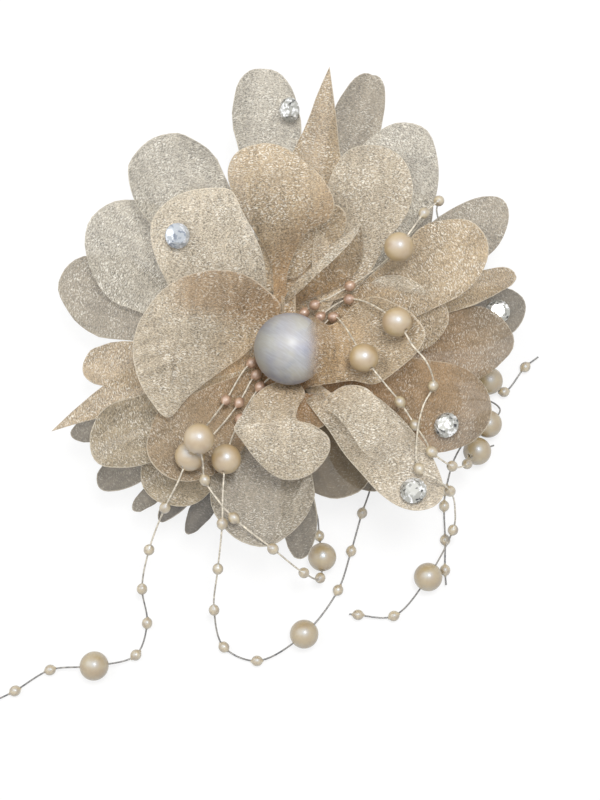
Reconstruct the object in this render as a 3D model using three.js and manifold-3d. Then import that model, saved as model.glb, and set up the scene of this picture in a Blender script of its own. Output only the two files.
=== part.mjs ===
// Flower hair clip: lobed organza layers stitched over a felt disc, a large centre pearl, strands of
// pearls on clear line, glued stones, and a sprung flat clip underneath.
// Millimetres, +Z up. The clip's flat underside rests on Z = 0, straight below the flower's axis.
import * as THREE from "three";
import { mergeVertices } from "three/addons/utils/BufferGeometryUtils.js";
import Module from "manifold-3d";

// Clearances between pieces that touch, turn on or lie over each other
const SEAT_GAP = 0.3;
const PIN_CLEARANCE = 0.2;
const EAR_CLEARANCE = 0.3;

// Clip
const CLIP_WIDTH = 10;
const PLATE = 0.8;
const JAW_GAP = 6;
const PIN_X = 12;
const JAW_LENGTH = 50;
const TAB_LENGTH = 18;
const NOSE_FLAT = 8;
const NOSE_RISE_LENGTH = 12;
const CORNER_RADIUS = 3;
const TOOTH_COUNT = 3;
const TOOTH_HEIGHT = 0.8;
const TOOTH_PITCH = 2.2;
const UPPER_EAR = 0.6;
const LOWER_EAR = 0.7;
const EAR_RADIUS = 2;
const EAR_FOOT = 7;
const PIN_RADIUS = 0.8;
const PIN_HEAD_RADIUS = 1.4;
const PIN_HEAD = 0.6;

// Jaw spring
const SPRING_WIRE = 0.6;
const SPRING_COIL_RADIUS = 1.6;
const SPRING_TURNS = 4;
const SPRING_PITCH = 1.1;
const SPRING_LEG = 0.45 * TAB_LENGTH;
const SPRING_SIDES = 5;
const SPRING_STEPS_PER_TURN = 8;
const SPRING_SAMPLES_PER_STEP = 4;

// Backing and stitching
const FELT_RADIUS = 22;
const FELT = 2;
const CORE_RADIUS = 2.2;
const KNOT_RADIUS = 4.5;
const KNOT = 0.8;

// Organza layers
const FLOWER_REACH = 86;
const ORGANZA = 0.4;
const HUB_RADIUS = 10;
const RISE_EASE = 8;
const LAYER_AIR = 0.4;
const TIP_SHARE = 0.2;
const STEM_WIDTH = 4;
const PEARL_AIR = 1;

// Pearls and stones
const CENTRE_PEARL_RADIUS = 10;
const STONE_RADIUS = 3.5;
const STONE_BACK_RADIUS = 3.1;
const STONE_TABLE_RADIUS = 1.9;
const STONE_GIRDLE = 0.8;
const STONE_HEIGHT = 2.6;
const LINE_RADIUS = 0.25;
const LINE_SIDES = 8;
const LINE_STEPS_PER_SPAN = 2;
const BEAD_RADIUS = 1.5;
const STRUNG_PEARL_RADIUS = 4;

// How a lobe stands up between its own layer and the next: along runs 0 to 1 from hub to tip, and
// aside -1 to 1 over its full width. Each gives 0 (lying low) to 1 (reaching the next layer).
const cup = (along, aside) => along * (0.1 + 0.8 * aside * aside);
const dome = (along, aside) => along * (0.85 - 0.7 * aside * aside);
const crease = (along, aside) => along * (0.1 + 0.8 * Math.abs(aside));
const rightUp = (along, aside) => along * (0.1 + 0.2 * (1 - aside) ** 2);
const flat = (along) => 0.3 * along;

// Layers from the lowest up: the rise of each, in degrees, and its lobes as direction in degrees, reach
// as a share of the flower's reach, width as a share of the lobe's reach, the way the lobe stands, for a
// pointed lobe the share of its reach that tapers, and for a bent one the degrees that its tip swings. The
// two innermost layers have only leaves, and the rise of the lower one bounds the lobes under it.
const PETAL_LAYERS = [
  { rise: 6, lobes: [
    [12, 0.79, 0.25, cup], [35, 0.86, 0.25, dome], [55, 0.7, 0.23, flat], [74, 1, 0.17, crease],
    [122, 0.67, 0.34, flat], [161, 0.79, 0.35, dome], [183, 0.68, 0.24, cup], [201, 0.75, 0.14, dome],
    [214.8, 0.75, 0.18, cup], [225.5, 0.71, 0.1, dome], [232.5, 0.68, 0.11, cup],
    [240.7, 0.67, 0.11, dome], [274, 0.66, 0.19, crease], [308, 0.53, 0.43, flat],
    [342, 0.58, 0.4, flat],
  ] },
  { rise: 12, lobes: [
    [3.5, 0.71, 0.36, dome], [22, 0.77, 0.14, crease, 0, -3], [60, 0.67, 0.31, flat],
    [96, 0.95, 0.23, cup], [146, 0.77, 0.46, dome], [184, 0.79, 0.3, crease, 0.55, 15],
    [227, 0.64, 0.38, cup], [293, 0.5, 0.56, dome],
  ] },
  { rise: 19, lobes: [
    [15, 0.52, 0.4, dome], [59, 0.8, 0.38, dome], [82, 0.91, 0.2, crease, 0.36], [124.5, 0.81, 0.36, cup],
    [209, 0.7, 0.32, cup], [259, 0.63, 0.52, rightUp], [338.5, 0.66, 0.47, dome],
  ] },
  { rise: 27, lobes: [
    [29, 0.69, 0.36, flat], [224, 0.56, 0.5, flat],
  ] },
  { rise: 37, lobes: [] },
  { lobes: [] },
];

// Leaves: inner petals shaped point by point, as x, y and height above the lowest layer. Each has its
// layer, where its stem meets it, its outline from one side of its base round to the other, and points
// inside it.
const LEAVES = {
  upper: { layer: 4, stem: [-3, 17.5], outline: [
    [-4, 14.2, 6], [-5.4, 25.6, 11], [-10.8, 33.9, 18.5], [-15.3, 40.7, 23], [-16.8, 47, 26],
    [-14.3, 51.4, 28], [-7.2, 53.6, 29], [-2.1, 52.7, 29], [3.8, 48.7, 29], [9.2, 43.3, 28.5],
    [11.9, 37.6, 27], [10.9, 34.2, 24.5], [4.9, 32.1, 19], [1.4, 27.7, 14.5], [-0.9, 21.8, 10],
    [-1.4, 14.2, 6],
  ], inside: [[-2.4, 42.2, 28.5], [-1.6, 34.2, 23], [-3.1, 26.9, 14.5]] },
  upperRight: { layer: 3, stem: [12, 19], outline: [
    [7.8, 16, 7], [6.1, 25.9, 11], [7.7, 35.9, 16], [9.9, 43.8, 20], [12.6, 49.6, 23], [15.6, 52.9, 25],
    [20.4, 54.2, 26], [25.9, 53.6, 26], [31, 50.1, 25.5], [33.3, 44.3, 24], [33.1, 39.3, 22], [31, 34.9, 20],
    [26.7, 30, 17.5], [23.1, 23.6, 13], [15.9, 16.7, 8.5],
  ], inside: [[21.8, 44.8, 25], [19.8, 35.5, 19], [15.3, 26.2, 12]] },
  standing: { layer: 5, stem: [-0.5, 15.8], outline: [
    [-2.6, 14, 7], [0.8, 17.3, 16], [5.5, 20.4, 21], [11.9, 25, 25.5], [16.4, 28.9, 28], [18.7, 30.8, 29],
    [19.9, 28.5, 22], [20, 25.5, 16], [17.3, 21.2, 11], [10.9, 17.6, 9.3], [3.5, 15.2, 7.5],
  ], inside: [[6.8, 19.4, 20], [13, 23.9, 24.5], [9.3, 19.2, 13.5], [15, 23.2, 16.5]] },
  upperLeft: { layer: 3, stem: [-13, 19], outline: [
    [-7.4, 15, 6], [-6.7, 20.1, 12], [-7.4, 25.4, 18.5], [-10, 30.6, 23.5], [-12.9, 35.7, 26],
    [-15.9, 41, 27], [-22.7, 42, 26], [-28.6, 41, 25.5], [-33.6, 38, 25.5], [-37.4, 33.4, 24],
    [-37.7, 28.5, 22], [-35.7, 22.1, 18], [-32, 16.9, 13], [-21.2, 15.7, 8],
  ], inside: [
    [-31, 30, 21.6], [-33.5, 28.5, 22.2], [-27.5, 31.5, 20.9], [-20, 32, 21], [-17.9, 25.8, 16.5],
  ] },
  left: { layer: 4, stem: [-12.5, 5.5], outline: [
    [-2.5, 12.1, 12], [-7.5, 17.6, 15], [-13.7, 20.8, 17.5], [-22.5, 20.5, 20.5], [-32.6, 16.2, 22],
    [-39.3, 7.6, 23], [-41.8, -0.6, 23], [-40.7, -8.6, 22], [-37.1, -15.3, 20.5], [-32.6, -19.6, 18.5],
    [-27.4, -12.7, 13.5], [-19, -4.7, 8.5], [-11.3, 1.9, 5.5], [-8, 7.6, 5.5],
  ], inside: [
    [-28.5, 0.6, 17.5], [-18.9, 4.8, 11.5], [-17.9, 13.7, 15.5], [-9.8, 13.6, 10.5], [-34.9, -1.4, 20.5],
  ] },
  lower: { layer: 5, stem: [-2, -12], outline: [
    [-4.2, -8.1, 8], [-9.1, -11.7, 11], [-11.8, -17.6, 18], [-14.4, -22.8, 23], [-11.5, -27.4, 23],
    [-7.8, -31.9, 22], [-2.8, -35.7, 20], [1.7, -36.1, 19.5], [6.7, -33.9, 21], [10.3, -29.3, 24],
    [10.3, -26.1, 26], [5.9, -22.8, 27], [2, -21.2, 25], [2.2, -16.8, 18], [4.1, -11.9, 12], [2.2, -8.3, 8],
  ], inside: [[-1.7, -26.4, 24.5], [-1.2, -31, 23], [-3.4, -16.7, 17.5]] },
  veil: { layer: 4, stem: [16, -6], outline: [
    [6.3, 7.8, 19.8], [5.6, 5.3, 22.8], [4.3, 2.4, 25], [3.5, -3, 25.6], [4.1, -7.4, 23], [3.8, -10.6, 17],
    [10.4, -9.4, 13.5], [17, -8.2, 11.5], [23.5, -9.3, 13], [29.6, -5.9, 17], [34.4, -1.8, 21],
    [36.1, 2, 23.5], [33.4, 7.6, 22], [28.6, 11.8, 18.5], [22.9, 15, 14], [17.5, 13.4, 9.6],
    [14.2, 10.1, 7.6], [10.3, 7.9, 9.8],
  ], inside: [
    [9.5, -0.2, 21], [8.7, -5.9, 18.5], [12.6, -0.9, 15.5], [15.9, -0.9, 12.8], [20.3, -2.1, 13],
    [29.1, 5.2, 16.6], [24.6, 1.2, 14.4],
  ] },
  lowerRight: { layer: 3, stem: [11, -14.5], outline: [
    [4.4, -12.4, 8.5], [6.9, -17.6, 14], [10.3, -22.4, 17], [14, -28.7, 19.5], [18.9, -34.9, 21.5],
    [23.4, -40.1, 22.5], [28, -43.6, 24], [32.6, -45, 25.5], [37.3, -44, 26.5], [39.9, -40.9, 26],
    [39.8, -36.9, 23.6], [36.9, -29.1, 21], [33.2, -23.7, 18.5], [28, -17.5, 16.5], [22.6, -13, 16],
    [18.5, -10.8, 14.5], [13, -11.3, 11],
  ], inside: [
    [12, -20.2, 13], [17, -27, 16.5], [22, -33.5, 20], [12.8, -15.8, 18.5], [17.8, -20.7, 22],
    [22.5, -26, 22.5], [27, -32, 22.3], [32.4, -40.1, 24.2],
  ] },
};

// Stones: the layer and lobe that carries each, how far out along the lobe it sits, and how far across it, or
// the leaf that carries it and where on the leaf it sits
const STONES = [
  { layer: 1, lobe: 3, out: 0.84, across: -0.85 },
  { leaf: LEAVES.upperLeft, at: [-31, 30] },
  { layer: 2, lobe: 6, out: 0.84, across: -0.35 },
  { leaf: LEAVES.lowerRight, at: [32.4, -40.1] },
  { layer: 0, lobe: 0, out: 0.88, across: 0 },
];

// What is strung at a point of a strand: nothing, a small moulded bead, or a loose pearl
const LINE = "line";
const BEAD = "bead";
const PEARL = "pearl";

// The way each strand lies, as x, y, z and what is strung there
const STRANDS = [
  { name: "a", route: [
    [-5.1, -4, 16.2, LINE],
    [-9.5, -5.5, 16.6, BEAD],
    [-14.1, -13.9, 19.2, BEAD],
    [-20.5, -23.5, 25.5, LINE],
    [-26.2, -30.4, 32.6, PEARL],
    [-29.5, -37.8, 32.6, LINE],
    [-33.2, -43.5, 26.5, BEAD],
    [-38.6, -54, 15, BEAD],
    [-41.4, -64.4, 6, BEAD],
    [-40.3, -73.8, 1.8, BEAD],
    [-43.3, -82.6, 1.6, BEAD],
    [-54.5, -85.5, 4.1, PEARL],
    [-67.2, -86.7, 1.6, BEAD],
    [-76.8, -92.4, 1.6, BEAD],
    [-82, -94.9, 1.6, LINE],
  ] },
  { name: "b", route: [
    [-4.2, -5, 16.2, LINE],
    [-8.4, -8.9, 16.6, BEAD],
    [-13.7, -18.6, 20.5, BEAD],
    [-16.8, -31, 31, PEARL],
    [-17.5, -39.8, 31.5, LINE],
    [-17.7, -48, 30, BEAD],
    [-19.5, -59.3, 18, BEAD],
    [-21.1, -70.2, 7.5, BEAD],
    [-18.6, -80.4, 1.8, BEAD],
    [-9.3, -84.2, 1.6, BEAD],
    [3.9, -76.8, 4.1, PEARL],
    [13.5, -64.6, 1.6, BEAD],
    [17.3, -53.6, 1.6, BEAD],
    [20.5, -42.8, 1.6, BEAD],
    [22.8, -36.2, 1.6, LINE],
    [24, -30, 1.6, LINE],
  ] },
  { name: "c", route: [
    [-5.8, -2.8, 16.2, LINE],
    [-10.7, -2.1, 16.6, BEAD],
    [-17.6, -13.4, 20.8, BEAD],
    [-20.8, -20, 29, LINE],
    [-23.3, -26.9, 39.8, PEARL],
    [-22.6, -32.3, 35, LINE],
    [-22.3, -36.6, 31, BEAD],
    [-18.9, -41.7, 30, LINE],
    [-14.6, -46.5, 30, BEAD],
    [-4.4, -54.4, 27, BEAD],
    [3.8, -60.2, 14, BEAD],
    [8.4, -61.3, 5, BEAD],
    [9, -55.4, 4.1, PEARL],
    [8.2, -49.3, 1.6, BEAD],
    [7.6, -43.4, 1.6, LINE],
    [5, -38, 1.6, LINE],
  ] },
  { name: "d", route: [
    [4.2, 5, 16.2, LINE],
    [8.4, 10.9, 17.7, BEAD],
    [16.4, 15.3, 20.5, BEAD],
    [28.7, 5.7, 33, PEARL],
    [32.7, -1.3, 35, LINE],
    [36, -5.5, 35.6, LINE],
    [38.6, -10.8, 28, BEAD],
    [36.2, -15.5, 26.5, LINE],
    [33.8, -24.6, 31, LINE],
    [33.7, -34.2, 36, BEAD],
    [38.1, -37.3, 38, LINE],
    [42.2, -39.5, 31, BEAD],
    [45.3, -43.2, 16, LINE],
    [45.6, -48.1, 8, BEAD],
    [38.8, -61, 4.1, PEARL],
    [29.2, -71.8, 1.6, BEAD],
    [19.1, -71.5, 1.6, BEAD],
    [16.6, -71.3, 1.6, LINE],
  ] },
  { name: "e", route: [
    [5.1, 4, 16.2, LINE],
    [12, 10.9, 17.6, BEAD],
    [14.7, 7.8, 21.5, LINE],
    [17.1, 3.1, 24.5, LINE],
    [20, -3.2, 28.5, PEARL],
    [22.6, -6.7, 29.3, LINE],
    [25.6, -10.3, 28.5, LINE],
    [29.7, -15, 27, BEAD],
    [33.7, -21.2, 26.5, BEAD],
    [36, -25.8, 30, LINE],
    [37.3, -29.5, 33.9, BEAD],
    [43.4, -32.4, 27, BEAD],
    [49.2, -30.2, 14, BEAD],
    [53.5, -25.3, 4.1, PEARL],
    [58.5, -23.5, 3, LINE],
  ] },
  { name: "f", route: [
    [2.8, 5.8, 16.2, LINE],
    [3.9, 12.2, 17, BEAD],
    [6.9, 13.9, 19.4, BEAD],
    [11.6, 15.6, 22.6, LINE],
    [16.6, 18.6, 22.4, BEAD],
    [24.1, 22.4, 28, LINE],
    [29.3, 25.8, 35.4, PEARL],
    [32.8, 30.4, 36.8, LINE],
    [36.3, 35.5, 34.9, BEAD],
    [40.9, 40.5, 30.4, BEAD],
    [41.7, 42.8, 22, LINE],
    [42.4, 43.6, 12, LINE],
    [44.5, 42.5, 4.5, LINE],
    [50.5, 37.5, 1.6, LINE],
    [58, 26, 1.6, LINE],
    [57, 10, 1.6, LINE],
    [57.4, -4.8, 4.1, PEARL],
    [62.1, -7.6, 1.6, BEAD],
    [68.5, -0.2, 1.6, BEAD],
    [72.4, 2.8, 1.6, LINE],
  ] },
  { name: "g", route: [
    [21.3, -7.7, 9, LINE],
    [28, -8.6, 5.6, LINE],
    [33, -9.1, 3, LINE],
    [40, -9.5, 1.6, LINE],
    [50, -9.8, 1.6, LINE],
    [58, -10.4, 1.8, LINE],
    [60.6, -13.2, 2.9, LINE],
    [56.8, -17.4, 4.1, PEARL],
    [52, -20.3, 2.6, LINE],
    [47.6, -26.5, 1.6, LINE],
    [44.6, -36.2, 1.6, BEAD],
    [44, -40.8, 1.6, BEAD],
    [44.1, -50.5, 1.6, BEAD],
    [43.9, -59, 1.6, BEAD],
    [44.1, -63.2, 1.6, LINE],
  ] },
];

// Heights that follow from the sizes above
const UPPER_PLATE_Z = PLATE + JAW_GAP;
const FELT_Z = UPPER_PLATE_Z + PLATE + SEAT_GAP;
const FIRST_LAYER_Z = FELT_Z + FELT + SEAT_GAP;
const LAYER_STEP = ORGANZA + SEAT_GAP;
const TOP_LAYER_Z = FIRST_LAYER_Z + LAYER_STEP * (PETAL_LAYERS.length - 1);
const KNOT_Z = TOP_LAYER_Z + ORGANZA + SEAT_GAP;
const CENTRE_PEARL_Z = KNOT_Z + KNOT + SEAT_GAP + CENTRE_PEARL_RADIUS;
const PIN_Z = PLATE + JAW_GAP / 2;
const NOSE_X = PIN_X - JAW_LENGTH;
const TAB_X = PIN_X + TAB_LENGTH;
const CORE_HOLE_RADIUS = CORE_RADIUS + SEAT_GAP;

// How finely round bodies are faceted: segments around, and for balls rows from pole to pole
const MERGE_DISTANCE = 1e-4;
const CURVE_SEGMENTS = 6;
const PIN_FACETS = 12;
const FELT_FACETS = 24;
const CORE_FACETS = 12;
const STONE_FACETS = 12;
const CENTRE_PEARL_FACETS = [18, 10];
const PEARL_FACETS = [10, 6];

const wasm = await Module();
wasm.setup();

// Solids

function toSolid(geometry) {
  const bare = geometry.clone();
  bare.deleteAttribute("normal");
  bare.deleteAttribute("uv");
  const merged = mergeVertices(bare, MERGE_DISTANCE);
  return new wasm.Manifold(new wasm.Mesh({
    numProp: 3,
    vertProperties: Float32Array.from(merged.attributes.position.array),
    triVerts: Uint32Array.from(merged.index.array),
  }));
}

function toGeometry(solid) {
  const mesh = solid.getMesh();
  const geometry = new THREE.BufferGeometry();
  const points = [];
  for (let i = 0; i < mesh.numVert; i += 1) {
    for (let k = 0; k < 3; k += 1) points.push(mesh.vertProperties[i * mesh.numProp + k]);
  }
  geometry.setAttribute("position", new THREE.Float32BufferAttribute(points, 3));
  geometry.setIndex(Array.from(mesh.triVerts));
  return geometry;
}

function join(geometries) {
  const [first, ...rest] = geometries.map(toSolid);
  return toGeometry(rest.reduce((sum, solid) => sum.add(solid), first));
}

// A shape drawn in X and Z, given a width along Y about the point y
function acrossWidth(shape, width, y = 0) {
  const options = { depth: width, bevelEnabled: false, curveSegments: CURVE_SEGMENTS };
  const geometry = new THREE.ExtrudeGeometry(shape, options);
  geometry.rotateX(Math.PI / 2);
  geometry.translate(0, y + width / 2, 0);
  return geometry;
}

// A turned body about Z from its outline as radius and height
function turned(outline, segments) {
  const geometry = new THREE.LatheGeometry(outline.map(([r, z]) => new THREE.Vector2(r, z)), segments);
  geometry.rotateX(Math.PI / 2);
  return geometry;
}

// Clip jaws

// An ear that stands on a plate at footZ and rounds over the pin, with the pin's hole
function earShape(footZ, holeRadius) {
  const shape = new THREE.Shape();
  const side = footZ < PIN_Z ? 1 : -1;
  shape.moveTo(PIN_X - EAR_FOOT / 2, footZ);
  shape.lineTo(PIN_X - EAR_RADIUS, PIN_Z);
  shape.absarc(PIN_X, PIN_Z, EAR_RADIUS, Math.PI, 0, side > 0);
  shape.lineTo(PIN_X + EAR_FOOT / 2, footZ);
  shape.closePath();
  const hole = new THREE.Path();
  hole.absarc(PIN_X, PIN_Z, holeRadius, 0, 2 * Math.PI, false);
  shape.holes.push(hole);
  return shape;
}

function upperJaw() {
  const half = CLIP_WIDTH / 2;
  const outline = new THREE.Shape();
  outline.moveTo(NOSE_X + CORNER_RADIUS, -half);
  outline.lineTo(TAB_X - CORNER_RADIUS, -half);
  outline.absarc(TAB_X - CORNER_RADIUS, -half + CORNER_RADIUS, CORNER_RADIUS, -Math.PI / 2, 0);
  outline.absarc(TAB_X - CORNER_RADIUS, half - CORNER_RADIUS, CORNER_RADIUS, 0, Math.PI / 2);
  outline.absarc(NOSE_X + CORNER_RADIUS, half - CORNER_RADIUS, CORNER_RADIUS, Math.PI / 2, Math.PI);
  outline.absarc(NOSE_X + CORNER_RADIUS, -half + CORNER_RADIUS, CORNER_RADIUS, Math.PI, Math.PI * 1.5);
  const options = { depth: PLATE, bevelEnabled: false, curveSegments: CURVE_SEGMENTS };
  const plate = new THREE.ExtrudeGeometry(outline, options);
  plate.translate(0, 0, UPPER_PLATE_Z);
  const ear = earShape(UPPER_PLATE_Z + PLATE / 2, PIN_RADIUS + PIN_CLEARANCE);
  const earY = half - UPPER_EAR / 2;
  return join([plate, acrossWidth(ear, UPPER_EAR, earY), acrossWidth(ear, UPPER_EAR, -earY)]);
}

// The lower jaw lies flat under the pin and lifts at the front to a toothed nose under the upper jaw.
function lowerJaw() {
  const noseTop = UPPER_PLATE_Z - SEAT_GAP - TOOTH_HEIGHT;
  const riseEnd = NOSE_X + NOSE_FLAT;
  const riseStart = riseEnd + NOSE_RISE_LENGTH;
  const halfRise = NOSE_RISE_LENGTH / 2;
  const shape = new THREE.Shape();
  shape.moveTo(TAB_X, 0);
  shape.lineTo(TAB_X, PLATE);
  shape.lineTo(riseStart, PLATE);
  shape.bezierCurveTo(riseStart - halfRise, PLATE, riseEnd + halfRise, noseTop, riseEnd, noseTop);
  shape.lineTo(NOSE_X, noseTop);
  shape.lineTo(NOSE_X, noseTop - PLATE);
  shape.lineTo(riseEnd, noseTop - PLATE);
  shape.bezierCurveTo(riseEnd + halfRise, noseTop - PLATE, riseStart - halfRise, 0, riseStart, 0);
  shape.closePath();
  const pieces = [acrossWidth(shape, CLIP_WIDTH)];
  for (let i = 0; i < TOOTH_COUNT; i += 1) {
    const start = NOSE_X + i * TOOTH_PITCH;
    const tooth = new THREE.Shape();
    tooth.moveTo(start, noseTop - PLATE / 2);
    tooth.lineTo(start + TOOTH_PITCH, noseTop - PLATE / 2);
    tooth.lineTo(start + TOOTH_PITCH, noseTop);
    tooth.lineTo(start + TOOTH_PITCH / 2, noseTop + TOOTH_HEIGHT);
    tooth.lineTo(start, noseTop);
    tooth.closePath();
    pieces.push(acrossWidth(tooth, CLIP_WIDTH));
  }
  const ear = earShape(PLATE / 2, PIN_RADIUS + PIN_CLEARANCE);
  const earY = CLIP_WIDTH / 2 - UPPER_EAR - EAR_CLEARANCE - LOWER_EAR / 2;
  pieces.push(acrossWidth(ear, LOWER_EAR, earY), acrossWidth(ear, LOWER_EAR, -earY));
  return join(pieces);
}

function hingePin() {
  const shaft = CLIP_WIDTH / 2 + EAR_CLEARANCE;
  const end = shaft + PIN_HEAD;
  const outline = [
    [0, -end],
    [PIN_HEAD_RADIUS, -end],
    [PIN_HEAD_RADIUS, -shaft],
    [PIN_RADIUS, -shaft],
    [PIN_RADIUS, shaft],
    [PIN_HEAD_RADIUS, shaft],
    [PIN_HEAD_RADIUS, end],
    [0, end],
  ];
  const profile = outline.map(([r, y]) => new THREE.Vector2(r, y));
  const geometry = new THREE.LatheGeometry(profile, PIN_FACETS);
  geometry.translate(PIN_X, 0, PIN_Z);
  return geometry;
}

// The spring's wire comes in along the upper plate, winds round the pin and leaves along the lower plate.
class SpringWire extends THREE.Curve {
  constructor() {
    super();
    this.winding = Math.PI * (2 * SPRING_TURNS + 1);
    const coil = this.winding * SPRING_COIL_RADIUS;
    this.legShare = SPRING_LEG / (coil + 2 * SPRING_LEG);
    this.startY = -(SPRING_TURNS + 0.5) * SPRING_PITCH / 2;
  }

  onCoil(turned) {
    const angle = Math.PI / 2 + turned;
    return new THREE.Vector3(
      PIN_X + SPRING_COIL_RADIUS * Math.cos(angle),
      this.startY + (turned / (2 * Math.PI)) * SPRING_PITCH,
      PIN_Z + SPRING_COIL_RADIUS * Math.sin(angle),
    );
  }

  getPoint(t) {
    const seat = SEAT_GAP + SPRING_WIRE / 2;
    if (t < this.legShare) {
      const tip = new THREE.Vector3(PIN_X + SPRING_LEG, this.startY, UPPER_PLATE_Z - seat);
      return tip.lerp(this.onCoil(0), t / this.legShare);
    }
    if (t > 1 - this.legShare) {
      const tip = new THREE.Vector3(PIN_X + SPRING_LEG, -this.startY, PLATE + seat);
      return tip.lerp(this.onCoil(this.winding), (1 - t) / this.legShare);
    }
    return this.onCoil(this.winding * (t - this.legShare) / (1 - 2 * this.legShare));
  }
}

function roundSection(radius, sides) {
  const shape = new THREE.Shape();
  for (let i = 0; i < sides; i += 1) {
    const angle = (2 * Math.PI * i) / sides;
    const point = [radius * Math.cos(angle), radius * Math.sin(angle)];
    if (i === 0) shape.moveTo(...point);
    else shape.lineTo(...point);
  }
  shape.closePath();
  return shape;
}

function tube(path, radius, sides, steps) {
  const section = roundSection(radius, sides);
  return new THREE.ExtrudeGeometry(section, { extrudePath: path, steps, bevelEnabled: false });
}

// The least gap between stretches of the wire that are more than half a turn apart along it
function leastGap(path, wire, steps, apart) {
  const points = path.getSpacedPoints(steps);
  let least = Infinity;
  for (let i = 0; i < points.length; i += 1) {
    for (let j = i + apart; j < points.length; j += 1) {
      least = Math.min(least, points[i].distanceTo(points[j]) - wire);
    }
  }
  return least;
}

function jawSpring() {
  const path = new SpringWire();
  const length = path.winding * SPRING_COIL_RADIUS + 2 * SPRING_LEG;
  const stepLength = (2 * Math.PI * SPRING_COIL_RADIUS) / SPRING_STEPS_PER_TURN;
  const steps = Math.round(length / stepLength);
  const halfTurn = (SPRING_STEPS_PER_TURN / 2) * SPRING_SAMPLES_PER_STEP;
  const gap = leastGap(path, SPRING_WIRE, steps * SPRING_SAMPLES_PER_STEP, halfTurn);
  console.log(`jaw spring: least gap between turns ${gap.toFixed(2)} mm`);
  return tube(path, SPRING_WIRE / 2, SPRING_SIDES, steps);
}

// Backing and stitching

function feltBacking() {
  return turned([
    [CORE_HOLE_RADIUS, FELT_Z],
    [FELT_RADIUS, FELT_Z],
    [FELT_RADIUS, FELT_Z + FELT],
    [CORE_HOLE_RADIUS, FELT_Z + FELT],
    [CORE_HOLE_RADIUS, FELT_Z],
  ], FELT_FACETS);
}

function stitchCore() {
  return turned([
    [0, FELT_Z],
    [CORE_RADIUS, FELT_Z],
    [CORE_RADIUS, KNOT_Z],
    [KNOT_RADIUS, KNOT_Z],
    [KNOT_RADIUS, KNOT_Z + KNOT],
    [0, KNOT_Z + KNOT],
  ], CORE_FACETS);
}

// Organza layers

const radians = THREE.MathUtils.degToRad;

// How much of a layer's rise is reached at a distance from the axis: level on the hub, then easing up
function riseRun(radius) {
  const out = Math.max(0, radius - HUB_RADIUS);
  if (out < RISE_EASE) return (out * out) / (2 * RISE_EASE);
  return out - RISE_EASE / 2;
}

const hubZ = (layer) => FIRST_LAYER_Z + layer * LAYER_STEP;

function layerFloor(layer, radius) {
  return hubZ(layer) + Math.tan(radians(PETAL_LAYERS[layer].rise)) * riseRun(radius);
}

// The underside of a layer where a lobe stands by the given share of the room up to the next layer
function layerHeight(layer, radius, share) {
  const low = layerFloor(layer, radius);
  const room = Math.max(0, layerFloor(layer + 1, radius) - low - ORGANZA - SEAT_GAP - LAYER_AIR);
  return low + share * room;
}

function lobePlan([direction, reachShare, widthShare, , taper = 0, bend = 0]) {
  const reach = reachShare * FLOWER_REACH;
  const half = (widthShare * reach) / 2;
  const tip = taper ? taper * reach : Math.max(half, TIP_SHARE * reach);
  return {
    direction: radians(direction),
    bend: radians(bend),
    reach,
    half,
    tip,
    widest: reach - tip,
    pointed: taper > 0,
  };
}

// Half of the lobe's spread about its direction at a distance from the axis
function lobeSpread(plan, radius) {
  const wedge = Math.asin(plan.half / plan.widest);
  if (radius <= plan.widest) return wedge;
  const share = Math.min(1, (radius - plan.widest) / plan.tip);
  const narrowing = plan.pointed ? 1 - share : Math.sqrt(1 - share * share);
  return Math.asin((plan.half * narrowing) / radius);
}

function lobePoint(layer, lobe, radius, across) {
  const plan = lobePlan(lobe);
  const along = (radius - HUB_RADIUS) / (plan.reach - HUB_RADIUS);
  const angle = plan.direction + plan.bend * along + across * lobeSpread(plan, radius);
  const aside = (across * radius * Math.sin(lobeSpread(plan, radius))) / plan.half;
  const z = layerHeight(layer, radius, lobe[3](along, aside));
  return new THREE.Vector3(radius * Math.cos(angle), radius * Math.sin(angle), z);
}

const BROAD_LOBE = 0.2;
const BROAD_COLUMNS = [-1, -0.5, 0, 0.5, 1];
const NARROW_COLUMNS = [-1, 0, 1];
const STRAIGHT_ROWS = 2;
const TIP_ROWS = [32, 60, 82];
const GAP_COLUMN = radians(30);

// Narrow lobes and those that lie level across need fewer columns.
function lobeColumns([, , widthShare, form]) {
  return widthShare < BROAD_LOBE || form === flat ? NARROW_COLUMNS : BROAD_COLUMNS;
}

// Every lobe of every layer has the same rows where the layers ease up, so that they stay apart there.
function lobeRows(plan) {
  const eased = HUB_RADIUS + RISE_EASE;
  const rows = [HUB_RADIUS + RISE_EASE / 2, eased];
  for (let i = 1; i <= STRAIGHT_ROWS; i += 1) {
    rows.push(eased + ((plan.widest - eased) * i) / STRAIGHT_ROWS);
  }
  for (const angle of TIP_ROWS) rows.push(plan.widest + plan.tip * Math.sin(radians(angle)));
  return rows;
}

// A closed sheet from an open surface of points and triangles, made as thick as the organza upwards
function thicken(points, triangles) {
  const count = points.length;
  const lift = new THREE.Vector3(0, 0, ORGANZA);
  const all = [...points, ...points.map((point) => point.clone().add(lift))];
  const edges = new Map();
  const faces = [];
  for (const [a, b, c] of triangles) {
    faces.push([a + count, b + count, c + count], [a, c, b]);
    for (const [from, to] of [[a, b], [b, c], [c, a]]) {
      if (!edges.delete(`${to} ${from}`)) edges.set(`${from} ${to}`, [from, to]);
    }
  }
  for (const [from, to] of edges.values()) {
    faces.push([from, to, to + count], [from, to + count, from + count]);
  }
  const geometry = new THREE.BufferGeometry();
  geometry.setFromPoints(all);
  geometry.setIndex(faces.flat());
  return geometry;
}

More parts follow.
